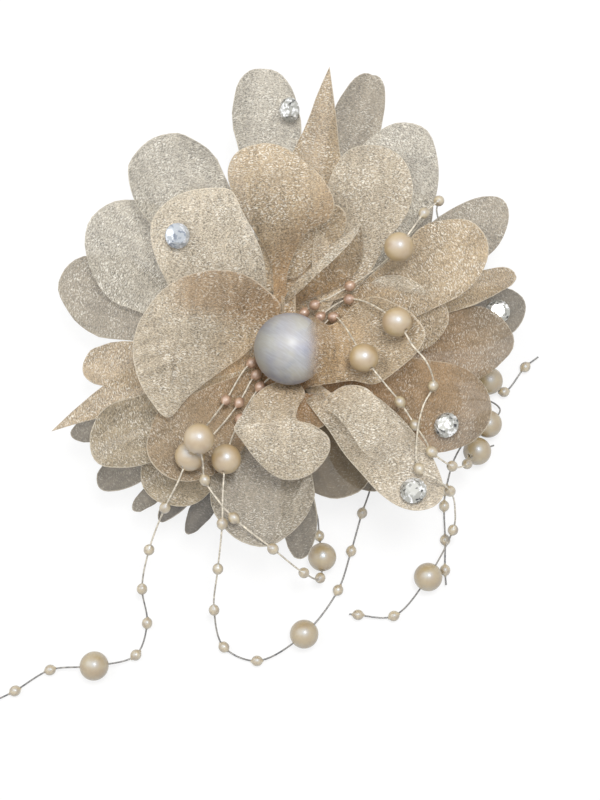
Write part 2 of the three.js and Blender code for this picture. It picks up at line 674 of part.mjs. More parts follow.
// Solves a square set of equations, given as rows with the wanted value last
function solve(rows) {
  const count = rows.length;
  for (let i = 0; i < count; i += 1) {
    let best = i;
    for (let j = i + 1; j < count; j += 1) {
      if (Math.abs(rows[j][i]) > Math.abs(rows[best][i])) best = j;
    }
    [rows[i], rows[best]] = [rows[best], rows[i]];
    for (let j = 0; j < count; j += 1) {
      const share = j === i ? 0 : rows[j][i] / rows[i][i];
      for (let k = i; k <= count; k += 1) rows[j][k] -= share * rows[i][k];
    }
  }
  return rows.map((row, i) => row[count] / row[i]);
}

const SMALLEST_SPAN = 1e-9;

// The height of a thin springy plate that goes through the given points, at a place in plan
function plateThrough(points) {
  const pull = (ax, ay, bx, by) => {
    const apart = Math.max((ax - bx) ** 2 + (ay - by) ** 2, SMALLEST_SPAN);
    return 0.5 * apart * Math.log(apart);
  };
  const rows = points.map(([x, y, z]) => [...points.map(([px, py]) => pull(x, y, px, py)), 1, x, y, z]);
  const balance = [() => 1, ([x]) => x, ([, y]) => y];
  for (const part of balance) rows.push([...points.map(part), 0, 0, 0, 0]);
  const weights = solve(rows);
  const [level, alongX, alongY] = weights.slice(points.length);
  return (x, y) => points.reduce(
    (sum, [px, py], i) => sum + weights[i] * pull(x, y, px, py),
    level + alongX * x + alongY * y,
  );
}

const RING_SHARES = [0.4, 0.75, 1];

// The underside of a leaf at a place in plan, kept clear of the centre pearl where it lies over it
function leafSurface({ outline, inside }) {
  const height = plateThrough([...outline, ...inside]);
  const shell = CENTRE_PEARL_RADIUS + PEARL_AIR;
  return (x, y) => {
    const z = FIRST_LAYER_Z + height(x, y);
    const reach = Math.hypot(x, y);
    if (reach >= shell || z < CENTRE_PEARL_Z) return z;
    return Math.max(z, CENTRE_PEARL_Z + Math.sqrt(shell * shell - reach * reach));
  };
}

// A leaf is made of rings about its middle.
function leafBlade(leaf) {
  const surface = leafSurface(leaf);
  const corners = leaf.outline.map(([x, y]) => new THREE.Vector2(x, y));
  if (THREE.ShapeUtils.isClockWise(corners)) corners.reverse();
  const count = corners.length;
  const middle = corners.reduce((sum, corner) => sum.add(corner), new THREE.Vector2()).divideScalar(count);
  const at = ({ x, y }) => new THREE.Vector3(x, y, surface(x, y));
  const points = [at(middle)];
  for (const share of RING_SHARES) {
    for (const corner of corners) points.push(at(middle.clone().lerp(corner, share)));
  }
  const triangles = [];
  for (let i = 0; i < count; i += 1) {
    const next = (i + 1) % count;
    triangles.push([0, 1 + i, 1 + next]);
    for (let ring = 1; ring < RING_SHARES.length; ring += 1) {
      const inner = 1 + (ring - 1) * count;
      const outer = inner + count;
      triangles.push([inner + i, outer + i, outer + next], [inner + i, outer + next, inner + next]);
    }
  }
  return thicken(points, triangles);
}

// The strip that carries a leaf from its layer's hub
function leafStem(leaf) {
  const [x, y] = leaf.stem;
  const outward = new THREE.Vector3(x, y, 0).normalize();
  const aside = new THREE.Vector3(-outward.y, outward.x, 0).multiplyScalar(STEM_WIDTH / 2);
  const foot = outward.clone().multiplyScalar(HUB_RADIUS - STEM_WIDTH / 2).setZ(hubZ(leaf.layer));
  const rim = outward.clone().multiplyScalar(HUB_RADIUS + SEAT_GAP).setZ(hubZ(leaf.layer));
  const head = new THREE.Vector3(x, y, leafSurface(leaf)(x, y));
  const points = [foot, rim, head].flatMap((end) => [end.clone().sub(aside), end.clone().add(aside)]);
  return thicken(points, [[0, 2, 3], [0, 3, 1], [2, 4, 5], [2, 5, 3]]);
}

function petalLayer(layer) {
  const points = [];
  const triangles = [];
  const add = (point) => points.push(point) - 1;
  const strip = (lower, upper) => {
    for (let i = 0; i + 1 < lower.length; i += 1) {
      triangles.push([lower[i], upper[i], upper[i + 1]], [lower[i], upper[i + 1], lower[i + 1]]);
    }
  };
  const onHub = (radius, angle) => add(new THREE.Vector3(
    radius * Math.cos(angle),
    radius * Math.sin(angle),
    hubZ(layer),
  ));
  const lobes = PETAL_LAYERS[layer].lobes;
  const baseAngles = lobes.map((lobe) => {
    const plan = lobePlan(lobe);
    const spread = lobeSpread(plan, HUB_RADIUS);
    return lobeColumns(lobe).map((across) => plan.direction + across * spread);
  });
  const hubAngles = [];
  const starts = [];
  if (!lobes.length) {
    for (let angle = 0; angle < 2 * Math.PI; angle += GAP_COLUMN) hubAngles.push(angle);
  }
  baseAngles.forEach((own, index) => {
    starts.push(hubAngles.length);
    hubAngles.push(...own);
    const last = own[own.length - 1];
    const wrapped = index + 1 === lobes.length;
    const next = baseAngles[wrapped ? 0 : index + 1][0] + (wrapped ? 2 * Math.PI : 0);
    const columns = Math.max(1, Math.ceil((next - last) / GAP_COLUMN));
    for (let i = 1; i < columns; i += 1) hubAngles.push(last + ((next - last) * i) / columns);
  });
  const rim = hubAngles.map((angle) => onHub(HUB_RADIUS, angle));
  const hole = hubAngles.map((angle) => onHub(CORE_HOLE_RADIUS, angle));
  strip([...hole, hole[0]], [...rim, rim[0]]);
  lobes.forEach((lobe, index) => {
    const columns = lobeColumns(lobe);
    let lower = rim.slice(starts[index], starts[index] + columns.length);
    for (const radius of lobeRows(lobePlan(lobe))) {
      const upper = columns.map((across) => add(lobePoint(layer, lobe, radius, across)));
      strip(lower, upper);
      lower = upper;
    }
  });
  const leaves = Object.values(LEAVES).filter((leaf) => leaf.layer === layer);
  return join([thicken(points, triangles), ...leaves.map(leafStem), ...leaves.map(leafBlade)]);
}

// Pearls and stones

function centrePearl() {
  return ball([0, 0, CENTRE_PEARL_Z], CENTRE_PEARL_RADIUS, CENTRE_PEARL_FACETS);
}

function stone() {
  return turned([
    [0, 0],
    [STONE_BACK_RADIUS, 0],
    [STONE_RADIUS, STONE_GIRDLE],
    [STONE_TABLE_RADIUS, STONE_HEIGHT],
    [0, STONE_HEIGHT],
  ], STONE_FACETS);
}

const OUT_STEP = 1;
const ACROSS_STEP = 0.15;
const SEAT_SAMPLES = 24;

// Where a stone sits on a leaf: its back lies along the leaf, just clear of the highest organza under it
function leafSeat({ leaf, at: [x, y] }) {
  const surface = leafSurface(leaf);
  const at = (px, py) => new THREE.Vector3(px, py, surface(px, py) + ORGANZA);
  const centre = at(x, y);
  const alongX = at(x + OUT_STEP, y).sub(at(x - OUT_STEP, y));
  const alongY = at(x, y + OUT_STEP).sub(at(x, y - OUT_STEP));
  const normal = alongX.cross(alongY).normalize();
  let highest = 0;
  for (let i = 0; i < SEAT_SAMPLES; i += 1) {
    const angle = (2 * Math.PI * i) / SEAT_SAMPLES;
    const edge = at(x + STONE_RADIUS * Math.cos(angle), y + STONE_RADIUS * Math.sin(angle));
    highest = Math.max(highest, edge.sub(centre).dot(normal));
  }
  return { position: centre.addScaledVector(normal, highest + SEAT_GAP), normal };
}

// Where a stone sits on a lobe, in the same way
function lobeSeat({ layer, lobe, out: outShare, across }) {
  const own = PETAL_LAYERS[layer].lobes[lobe];
  const plan = lobePlan(own);
  const out = outShare * plan.reach;
  const top = new THREE.Vector3(0, 0, ORGANZA);
  const at = (radius, side) => lobePoint(layer, own, radius, side).add(top);
  const centre = at(out, across);
  const outward = at(out + OUT_STEP, across).sub(at(out - OUT_STEP, across)).normalize();
  const sideways = at(out, across + ACROSS_STEP).sub(at(out, across - ACROSS_STEP)).normalize();
  const normal = outward.clone().cross(sideways).normalize();
  let highest = 0;
  for (let i = 0; i < SEAT_SAMPLES; i += 1) {
    for (const share of [0.5, 1]) {
      const angle = (2 * Math.PI * i) / SEAT_SAMPLES;
      const radius = out + share * STONE_RADIUS * Math.cos(angle);
      const side = across + (share * STONE_RADIUS * Math.sin(angle)) / (radius * lobeSpread(plan, radius));
      if (Math.abs(side) > 1 || radius > plan.reach) continue;
      highest = Math.max(highest, at(radius, side).sub(centre).dot(normal));
    }
  }
  return { position: centre.addScaledVector(normal, highest + SEAT_GAP), normal };
}

// Strands

// A strand's line, stepped evenly between the points of its route so that it meets every bead
class StrandLine extends THREE.CatmullRomCurve3 {
  getPointAt(t, target) {
    return this.getPoint(t, target);
  }

  getTangentAt(t, target) {
    return this.getTangent(t, target);
  }
}

function strandTube(route, radius) {
  const path = new StrandLine(route.map(([x, y, z]) => new THREE.Vector3(x, y, z)));
  return tube(path, radius, LINE_SIDES, LINE_STEPS_PER_SPAN * (route.length - 1));
}

const strungWith = (route, item) => route.filter((point) => point[3] === item);

function ball([x, y, z], radius, [around, down]) {
  const geometry = new THREE.SphereGeometry(radius, around, down);
  geometry.translate(x, y, z);
  return geometry;
}

// The line of a strand with the small beads moulded on it
function strand(route) {
  const beads = strungWith(route, BEAD).map(([x, y, z]) => {
    const bead = new THREE.IcosahedronGeometry(BEAD_RADIUS);
    bead.translate(x, y, z);
    return bead;
  });
  return join([strandTube(route, LINE_RADIUS), ...beads]);
}

// A loose pearl, bored along the line that carries it
function strungPearl(route, point) {
  const bore = toSolid(strandTube(route, LINE_RADIUS + SEAT_GAP));
  return toGeometry(toSolid(ball(point, STRUNG_PEARL_RADIUS, PEARL_FACETS)).subtract(bore));
}

// Materials

function finish(color, roughness, metalness = 0) {
  return new THREE.MeshStandardMaterial({ color, roughness, metalness });
}

const steel = () => finish(0xb8b8b4, 0.35, 1);
const organza = () => finish(0xc4aa87, 0.6);
const felt = () => finish(0xcdbb9e, 0.95);
const thread = () => finish(0xd8c6a6, 0.85);
const lilacPearl = () => finish(0xb9b0b4, 0.25);
const clearStone = () => finish(0xdfe6ee, 0.05, 0.4);
const clearLine = () => finish(0xd9d2c6, 0.3);
const creamPearl = () => finish(0xe6d5b8, 0.25);

// Assembly

const flowerClip = new THREE.Group();

function place(name, geometry, material) {
  const mesh = new THREE.Mesh(geometry, material);
  mesh.name = name;
  flowerClip.add(mesh);
  return mesh;
}

place("upper_jaw", upperJaw(), steel());
place("lower_jaw", lowerJaw(), steel());
place("hinge_pin", hingePin(), steel());
place("jaw_spring", jawSpring(), steel());
place("felt_backing", feltBacking(), felt());
place("stitch_core", stitchCore(), thread());
PETAL_LAYERS.forEach((_, layer) => place(`petal_layer_${layer + 1}`, petalLayer(layer), organza()));
place("centre_pearl", centrePearl(), lilacPearl());
STONES.forEach((seat, index) => {
  const { position, normal } = seat.leaf ? leafSeat(seat) : lobeSeat(seat);
  const mesh = place(`rhinestone_${index + 1}`, stone(), clearStone());
  mesh.position.copy(position);
  mesh.quaternion.setFromUnitVectors(new THREE.Vector3(0, 0, 1), normal);
});

let pearlCount = 0;
for (const { name, route } of STRANDS) {
  place(`strand_${name}`, strand(route), clearLine());
  for (const point of strungWith(route, PEARL)) {
    pearlCount += 1;
    place(`pearl_${pearlCount}`, strungPearl(route, point), creamPearl());
  }
}

export default flowerClip;
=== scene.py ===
"""Looks of the flower hair clip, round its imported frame. Lengths are in millimetres up to metres()."""
import math

import bpy
import numpy as np
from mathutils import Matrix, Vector, noise


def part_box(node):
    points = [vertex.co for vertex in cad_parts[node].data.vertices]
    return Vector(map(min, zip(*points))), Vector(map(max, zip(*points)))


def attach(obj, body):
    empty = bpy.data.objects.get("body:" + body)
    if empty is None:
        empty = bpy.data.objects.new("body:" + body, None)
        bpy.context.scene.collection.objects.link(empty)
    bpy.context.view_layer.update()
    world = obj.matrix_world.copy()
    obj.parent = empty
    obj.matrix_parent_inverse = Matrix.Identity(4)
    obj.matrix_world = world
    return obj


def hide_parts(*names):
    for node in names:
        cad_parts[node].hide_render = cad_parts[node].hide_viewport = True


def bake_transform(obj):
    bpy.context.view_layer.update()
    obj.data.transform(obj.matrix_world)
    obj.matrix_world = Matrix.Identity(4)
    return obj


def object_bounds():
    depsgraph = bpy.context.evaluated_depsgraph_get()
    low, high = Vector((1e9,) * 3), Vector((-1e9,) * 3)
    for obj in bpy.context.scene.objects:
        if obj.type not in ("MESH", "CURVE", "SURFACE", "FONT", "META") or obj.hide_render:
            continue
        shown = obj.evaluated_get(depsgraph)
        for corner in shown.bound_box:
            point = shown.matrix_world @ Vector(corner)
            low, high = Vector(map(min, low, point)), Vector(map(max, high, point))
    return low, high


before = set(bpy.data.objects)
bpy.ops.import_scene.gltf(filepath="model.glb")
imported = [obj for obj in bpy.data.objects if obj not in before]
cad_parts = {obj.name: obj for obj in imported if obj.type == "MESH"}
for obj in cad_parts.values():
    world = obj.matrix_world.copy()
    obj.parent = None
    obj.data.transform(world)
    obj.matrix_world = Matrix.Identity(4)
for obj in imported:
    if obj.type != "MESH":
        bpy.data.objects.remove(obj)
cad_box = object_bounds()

MM = 0.001


def metres(point):
    return Vector(point) * MM


def corners(node):
    """The lowest and the highest corner of a node's box."""
    return [Vector(corner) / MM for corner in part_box(node)]


def around(radius, angle, height):
    """A point at an angle round the upright axis."""
    return Vector((radius * math.cos(angle), radius * math.sin(angle), height))


def add_object(name, data, material=None, node=None, body="flower"):
    """An object that rides on a body, with its material's slot and the node that it takes the place of."""
    made = bpy.data.objects.new(name, data)
    bpy.context.collection.objects.link(made)
    if material:
        data.materials.append(material)
    if body:
        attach(made, body)
    if node:
        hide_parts(node)
    return made


# Camera

CAMERA_PLACE = (2.74, -72.2, 354.53)
CAMERA_TILT = math.radians(10)
CAMERA_LENS = 55.48
CAMERA_SENSOR = 36
CAMERA_CLIP = 0.01

camera_data = bpy.data.cameras.new("camera")
camera_data.lens = CAMERA_LENS
camera_data.sensor_width = CAMERA_SENSOR
camera_data.clip_start = CAMERA_CLIP
camera = add_object("camera", camera_data, body=None)
camera.location = metres(CAMERA_PLACE)
camera.rotation_euler = (CAMERA_TILT, 0, 0)
bpy.context.scene.camera = camera


# Node materials

WHITE = (1, 1, 1, 1)


class Nodes:
    """Short calls for the nodes of a tree."""

    def __init__(self, tree):
        self.tree = tree

    def feed(self, socket, source):
        if isinstance(source, bpy.types.NodeSocket):
            self.tree.links.new(source, socket)
        else:
            socket.default_value = source

    def node(self, kind, output=0, inputs=None, **settings):
        made = self.tree.nodes.new("ShaderNode" + kind)
        for setting, value in settings.items():
            setattr(made, setting, value)
        for key, source in (inputs or {}).items():
            self.feed(made.inputs[key], source)
        return made.outputs[output]

    def math(self, operation, a, b):
        return self.node("Math", 0, {0: a, 1: b}, operation=operation)

    def show_white(self, shader, share, white, output):
        """Mixes a shader with white where the camera looks at it, also by way of gloss or glass."""
        seen = self.node("LightPath", "Is Camera Ray")
        for ray in ("Is Glossy Ray", "Is Transmission Ray"):
            seen = self.math("MAXIMUM", seen, self.node("LightPath", ray))
        plain = self.node(white, 0, {"Color": WHITE, "Strength": 1.0})
        inputs = {0: self.math("MULTIPLY", seen, share), 1: shader.outputs[0], 2: plain}
        self.feed(self.tree.nodes[output].inputs["Surface"], self.node("MixShader", 0, inputs))


class Paint(Nodes):
    """A material with one Principled shader."""

    def __init__(self, name, **sockets):
        self.material = bpy.data.materials.new(name)
        self.material.use_nodes = True
        super().__init__(self.material.node_tree)
        self.shader = self.tree.nodes["Principled BSDF"]
        for socket, value in sockets.items():
            self.shader.inputs[socket.replace("_", " ")].default_value = value

    def attribute(self, name, output="Fac"):
        return self.node("Attribute", output, attribute_name=name)

    def place(self, scale=(1, 1, 1), source=None):
        """Object coordinates, or another vector, times a scale for each axis."""
        vector = source or self.node("TexCoord", "Object")
        return self.node("VectorMath", 0, {0: vector, 1: scale}, operation="MULTIPLY")

    def noise(self, vector, scale, detail=2.0, distortion=0.0, output="Fac"):
        inputs = {"Vector": vector, "Scale": scale, "Detail": detail, "Distortion": distortion}
        return self.node("TexNoise", output, inputs)

    def axis(self, vector, name):
        return self.node("SeparateXYZ", name, {0: vector})

    def ramp(self, value, start, end, bottom=0.0, top=1.0):
        inputs = {"Value": value, "From Min": start, "From Max": end, "To Min": bottom, "To Max": top}
        return self.node("MapRange", 0, inputs)

    def mix(self, share, a, b, blend="MIX"):
        return self.node("Mix", 2, {0: share, 6: a, 7: b}, data_type="RGBA", blend_type=blend)

    def into(self, socket, source):
        self.feed(self.shader.inputs[socket], source)

    def done(self, base, rough=None):
        """The material, with what varies over its colour and its roughness."""
        self.into("Base Color", base)
        if rough:
            self.into("Roughness", rough)
        return self.material

    def bump(self, height, strength, distance):
        inputs = {"Height": height, "Strength": strength, "Distance": distance}
        self.into("Normal", self.node("Bump", 0, inputs))


def colour(*levels):
    """A colour from its red, green and blue levels of 0 to 255."""
    shares = [level / 255 for level in levels]
    return tuple(s / 12.92 if s <= 0.04045 else ((s + 0.055) / 1.055) ** 2.4 for s in shares) + (1.0,)


# The share of the light that sheer cloth lets through to what lies under it
LIGHT_PASS = 0.55


def organza_paint():
    """Crimped metallic threads in see-through cloth, with painted glints paler than its own tone, and painted
    shade and highlight along its wrinkles.
    """
    paint = Paint("organza", Sheen_Weight=0.15, Sheen_Roughness=0.4)
    cloth = paint.attribute("cloth", "Vector")
    # The tone carries the petals' painted shade and painted warm glow
    tone = paint.attribute("tone", "Color")
    rim = paint.attribute("rim")
    veil = paint.attribute("veil")
    drift = paint.place((1.6, 1.6, 1.6), paint.noise(cloth, 0.5, 2.0, output="Color"))
    crimped = paint.node("VectorMath", 0, {0: cloth, 1: drift}, operation="ADD")
    weave = paint.noise(paint.place((0.5, 1.0, 1.0), crimped), 4.3, 1.0)
    dashes = paint.noise(paint.place((0.42, 1.0, 1.0), crimped), 3.4, 1.0)
    patches = paint.ramp(paint.noise(cloth, 0.14, 3.0), 0.36, 0.64, 0.25, 1.0)
    lively = paint.ramp(paint.node("RGBToBW", 0, {0: tone}), 0.12, 0.36, 0.08, 1.0)
    # Painted glints of the threads: cream dashes in patches, fewer where the tone is darker
    glint = paint.math("MULTIPLY", paint.math("MULTIPLY", paint.ramp(dashes, 0.53, 0.68), patches), lively)
    grain = paint.math("MULTIPLY", paint.ramp(weave, 0.32, 0.72, -0.34, 0.8), lively)
    level = paint.math("ADD", paint.ramp(paint.noise(cloth, 0.08, 3.0), 0.25, 0.75, 0.7, 0.96), grain)
    wrinkles = paint.noise(paint.place((0.42, 0.1, 1.0), crimped), 1.0, 2.0)
    # Painted shade and highlight along the wrinkles, which also bump the surface
    level = paint.math("ADD", level, paint.ramp(wrinkles, 0.34, 0.66, -0.12, 0.12))
    ground = paint.mix(1.0, tone, level, "MULTIPLY")
    shine = paint.mix(0.8, tone, colour(255, 251, 240))
    face = paint.mix(glint, ground, shine)
    edge = paint.mix(0.5, tone, colour(246, 236, 216))
    solid = paint.math("ADD", paint.ramp(glint, 0.0, 1.0, 0.74, 0.9), paint.math("MULTIPLY", rim, 0.2))
    solid = paint.math("MULTIPLY", solid, paint.math("SUBTRACT", 1.0, veil))
    shadow = paint.node("LightPath", "Is Shadow Ray")
    bounced = paint.node("LightPath", "Is Diffuse Ray")
    let_through = paint.math("MULTIPLY", paint.math("MAXIMUM", shadow, bounced), LIGHT_PASS)
    paint.into("Alpha", paint.math("MULTIPLY", solid, paint.math("SUBTRACT", 1.0, let_through)))
    paint.bump(paint.math("ADD", weave, paint.math("MULTIPLY", wrinkles, 5.0)), 0.5, 0.0005)
    base = paint.mix(paint.math("MULTIPLY", rim, 0.75), face, edge)
    return paint.done(base, paint.ramp(glint, 0.0, 1.0, 0.6, 0.34))


def pearl_paint(name, body, shadow, scale, gloss, painted_low_shade=None):
    """Nacre: a broad tinted gloss under a clear coat. Low down, off the petals, its body may get a painted
    shade, darker and greener.
    """
    paint = Paint(
        name, IOR=2.1, Specular_IOR_Level=0.95, Specular_Tint=gloss, Coat_Weight=0.6, Coat_Roughness=0.2,
    )
    place = paint.place()
    spots = paint.noise(place, scale, 2.0, 0.6)
    nacre = paint.mix(paint.ramp(spots, 0.3, 0.72), body, shadow)
    # Painted shade low down on the table
    if painted_low_shade:
        raised = paint.ramp(paint.axis(place, "Z"), 7 * MM, 20 * MM)
        nacre = paint.mix(raised, paint.mix(1.0, nacre, painted_low_shade, "MULTIPLY"), nacre)
    return paint.done(nacre, paint.ramp(spots, 0.25, 0.75, 0.42, 0.62))


def centre_paint():
    """Silver-lilac nacre with faint blue, green and rose clouds, brushed along a slant, with lighter streaks
    that are partly its texture and partly a painted highlight, and a painted highlight towards the right
    side.
    """
    paint = Paint("lilac_pearl", Coat_Weight=0.5, Coat_Roughness=0.42, Coat_IOR=1.7)
    place = paint.place()
    clouds = paint.noise(place, 95.0, 2.0, 0.8)
    drift = paint.noise(place, 140.0, 2.0, 0.4, "Color")
    slanted = paint.node("VectorRotate", 0, {"Vector": place, "Angle": 0.6})
    brushed = paint.noise(paint.place((320, 2400, 320), slanted), 1.0, 3.0)
    cool = paint.mix(paint.ramp(clouds, 0.36, 0.62), colour(126, 133, 152), colour(158, 156, 162))
    warm = paint.mix(paint.ramp(drift, 0.4, 0.62), cool, colour(166, 164, 156))
    # Lighter streaks along the brushing: partly its texture, partly a painted streaked highlight
    streaked = paint.mix(paint.ramp(brushed, 0.42, 0.75, 0.0, 0.32), warm, colour(190, 195, 204))
    # Painted highlight: the nacre lighter towards the right side
    aside = paint.ramp(paint.axis(place, "X"), -8 * MM, 7 * MM, 0.74, 1.34)
    paint.bump(brushed, 0.07, 0.0003)
    return paint.done(paint.mix(1.0, streaked, aside, "MULTIPLY"), paint.ramp(brushed, 0.3, 0.7, 0.36, 0.52))


def line_paint():
    """Clear line with painted light: a painted pale reflection over the petals, painted shade where it lies
    on the table and stops its light, and dark and light along it, partly a twist and partly painted glints.
    """
    paint = Paint("clear_line", Specular_IOR_Level=0.7, Alpha=0.9)
    place = paint.place()
    twist_and_glints = paint.ramp(paint.noise(place, 900.0, 2.0), 0.3, 0.7)
    raised = paint.ramp(paint.axis(place, "Z"), 3 * MM, 15 * MM)
    # Painted shade on the table, and painted reflection over the petals
    table_shade = paint.mix(twist_and_glints, colour(88, 88, 90), colour(160, 156, 150))
    pale = paint.mix(twist_and_glints, colour(168, 160, 146), colour(240, 230, 210))
    return paint.done(paint.mix(raised, table_shade, pale), paint.ramp(twist_and_glints, 0.0, 1.0, 0.19, 0.32))


def stone_paint():
    """Clear stone over foil: each facet shows painted bright and dark bits, painted reflections of what lies
    round it.
    """
    paint = Paint("clear_stone", Metallic=0.2, Coat_Weight=0.5, Coat_Roughness=0.02)
    facet = paint.attribute("facet")
    bits = paint.node("TexVoronoi", "Color", {"Vector": paint.place(), "Scale": 1700.0})
    painted_sparkle = paint.math("ADD", paint.math("MULTIPLY", bits, 0.7), paint.math("MULTIPLY", facet, 0.3))
    grey = paint.mix(paint.ramp(painted_sparkle, 0.16, 0.34), colour(60, 60, 62), colour(172, 172, 166))
    glass = paint.mix(paint.ramp(painted_sparkle, 0.6, 0.8), grey, colour(252, 253, 255))
    blue = paint.math("MULTIPLY", paint.attribute("cold"), 0.3)
    base = paint.mix(blue, glass, colour(214, 230, 255))
    return paint.done(base, paint.ramp(facet, 0.3, 0.7, 0.03, 0.12))


def steel_paint():
    paint = Paint("spring_steel", Metallic=1.0)
    brushed = paint.noise(paint.place((60, 2400, 2400)), 1.0, 3.0)
    stain = paint.noise(paint.place(), 160.0, 3.0)
    paint.bump(brushed, 0.12, 0.00004)
    base = paint.mix(paint.ramp(stain, 0.35, 0.7), colour(196, 196, 192), colour(168, 166, 160))
    return paint.done(base, paint.ramp(brushed, 0.25, 0.75, 0.24, 0.42))


def felt_paint():
    paint = Paint("felt", Roughness=0.95, Sheen_Weight=0.5, Sheen_Roughness=0.6)
    fibres = paint.noise(paint.place(), 1500.0, 4.0, 1.5)
    cloud = paint.noise(paint.place(), 180.0, 2.0)
    pale = paint.mix(paint.ramp(cloud, 0.3, 0.7), colour(205, 187, 158), colour(190, 170, 140))
    paint.bump(fibres, 0.6, 0.0004)
    return paint.done(paint.mix(paint.ramp(fibres, 0.35, 0.75), pale, colour(226, 212, 188)))


def thread_paint():
    paint = Paint("thread", Roughness=0.8, Sheen_Weight=0.3, Sheen_Roughness=0.5)
    ply = paint.node("TexWave", "Fac", {
        "Vector": paint.place(), "Scale": 420.0, "Distortion": 1.5, "Detail": 2.0,
    }, bands_direction="DIAGONAL")
    paint.bump(ply, 0.5, 0.0002)
    return paint.done(paint.mix(ply, colour(186, 164, 128), colour(226, 208, 176)))


ORGANZA = organza_paint()
BLUISH = colour(165, 212, 255)
NEUTRAL = colour(222, 222, 222)
# Painted shade for the pearls that lie low on the table
LOW_PEARL_SHADE = (0.88, 0.9, 0.8, 1.0)
CREAM_PEARL = pearl_paint("cream_pearl", colour(198, 167, 108), colour(181, 146, 88), 260.0, BLUISH, LOW_PEARL_SHADE)
SMALL_BEAD = pearl_paint("small_bead", colour(208, 184, 134), colour(164, 137, 92), 700.0, BLUISH)
# Painted shade: a darker, rosier copy of the bead paint, for beads low among the petals
SHADED_BEAD = pearl_paint("shaded_bead", colour(184, 148, 116), colour(142, 105, 82), 900.0, NEUTRAL)
LILAC_PEARL = centre_paint()
CLEAR_LINE = line_paint()
CLEAR_STONE = stone_paint()
STEEL = steel_paint()
FELT = felt_paint()
THREAD = thread_paint()


# Building blocks

def mesh_from(name, points, faces, smooth=True):
    mesh = bpy.data.meshes.new(name)
    mesh.from_pydata([metres(point) for point in points], [], faces)
    mesh.polygons.foreach_set("use_smooth", [smooth] * len(mesh.polygons))
    mesh.update()
    return mesh


def dress(name, form, material, node, body="flower", smooth=True):
    """A piece made of points and faces."""
    return add_object(name, mesh_from(name, *form, smooth), material, node, body)


def quads(a, b, count, row):
    """Faces between two rows of points, of which the first ones are a and b."""
    return [(a + i, a + (i + 1) % row, b + (i + 1) % row, b + i) for i in range(count)]


def turned(profile, segments, place, axis, ring=False):
    """Points and faces of a round form, from a profile of (radius, height) that is open or a closed ring."""
    turn = Vector((0, 0, 1)).rotation_difference(Vector(axis)).to_matrix()
    points = []
    for radius, height in profile:
        for i in range(segments):
            points.append(Vector(place) + turn @ around(radius, 2 * math.pi * i / segments, height))
    faces = []
    rows = len(profile)
    for row in range(rows if ring else rows - 1):
        faces += quads(row * segments, (row + 1) % rows * segments, segments, segments)
    return points, faces


def bored_ball(radius, bore, rows):
    """Profile of a ball with a hole right through it, as a closed ring."""
    lip = math.asin(bore / radius)
    outside = [lip + (math.pi - 2 * lip) * i / rows for i in range(rows + 1)]
    profile = [(radius * math.sin(angle), -radius * math.cos(angle)) for angle in outside]
    inner = 0.8 * bore
    reach = radius * math.cos(lip) - bore
    return profile + [(inner, reach), (inner, -reach)]


def tube(path, radius, sides=8):
    """Points and faces of a closed tube along a path of vectors."""
    points, faces = [], []
    side = None
    for i, place in enumerate(path):
        ahead = (path[min(i + 1, len(path) - 1)] - path[max(i - 1, 0)]).normalized()
        if side is None:
            side = ahead.orthogonal().normalized()
        side = (side - ahead * side.dot(ahead)).normalized()
        other = ahead.cross(side)
        for k in range(sides):
            angle = 2 * math.pi * k / sides
            points.append(place + radius * (math.cos(angle) * side + math.sin(angle) * other))
    for i in range(len(path) - 1):
        faces += quads(i * sides, (i + 1) * sides, sides, sides)
    faces.append(tuple(reversed(range(sides))))
    faces.append(tuple(range((len(path) - 1) * sides, len(path) * sides)))
    return points, faces


def solids(name, forms, materials):
    """A mesh of several closed forms, each with the number of its material."""
    points, faces, paints = [], [], []
    for (more, sides), paint in forms:
        start = len(points)
        points += more
        faces += [tuple(start + i for i in side) for side in sides]
        paints += [paint] * len(sides)
    mesh = mesh_from(name, points, faces)
    for material in materials:
        mesh.materials.append(material)
    mesh.polygons.foreach_set("material_index", paints)
    return mesh


# Strands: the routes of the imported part, as places where bare line passes or a bead or pearl sits

BEAD, PEARL = "bead", "pearl"
LINE_DIAMETER = 0.5
BEAD_RADIUS = 1.5
BEAD_STRETCH = 1.08
PEARL_RADIUS = 4.0
NECK_RADIUS = 0.42
NECK_LENGTH = 0.35
NECK_END = 0.02
NECK_TAPER = (0.75, 0.9)
PEARL_BORE = 0.5
# Beads nearer the middle and lower than these take the darker copy, as painted shade under the petals
SHADED_BEAD_REACH = 27
SHADED_BEAD_HEIGHT = 24

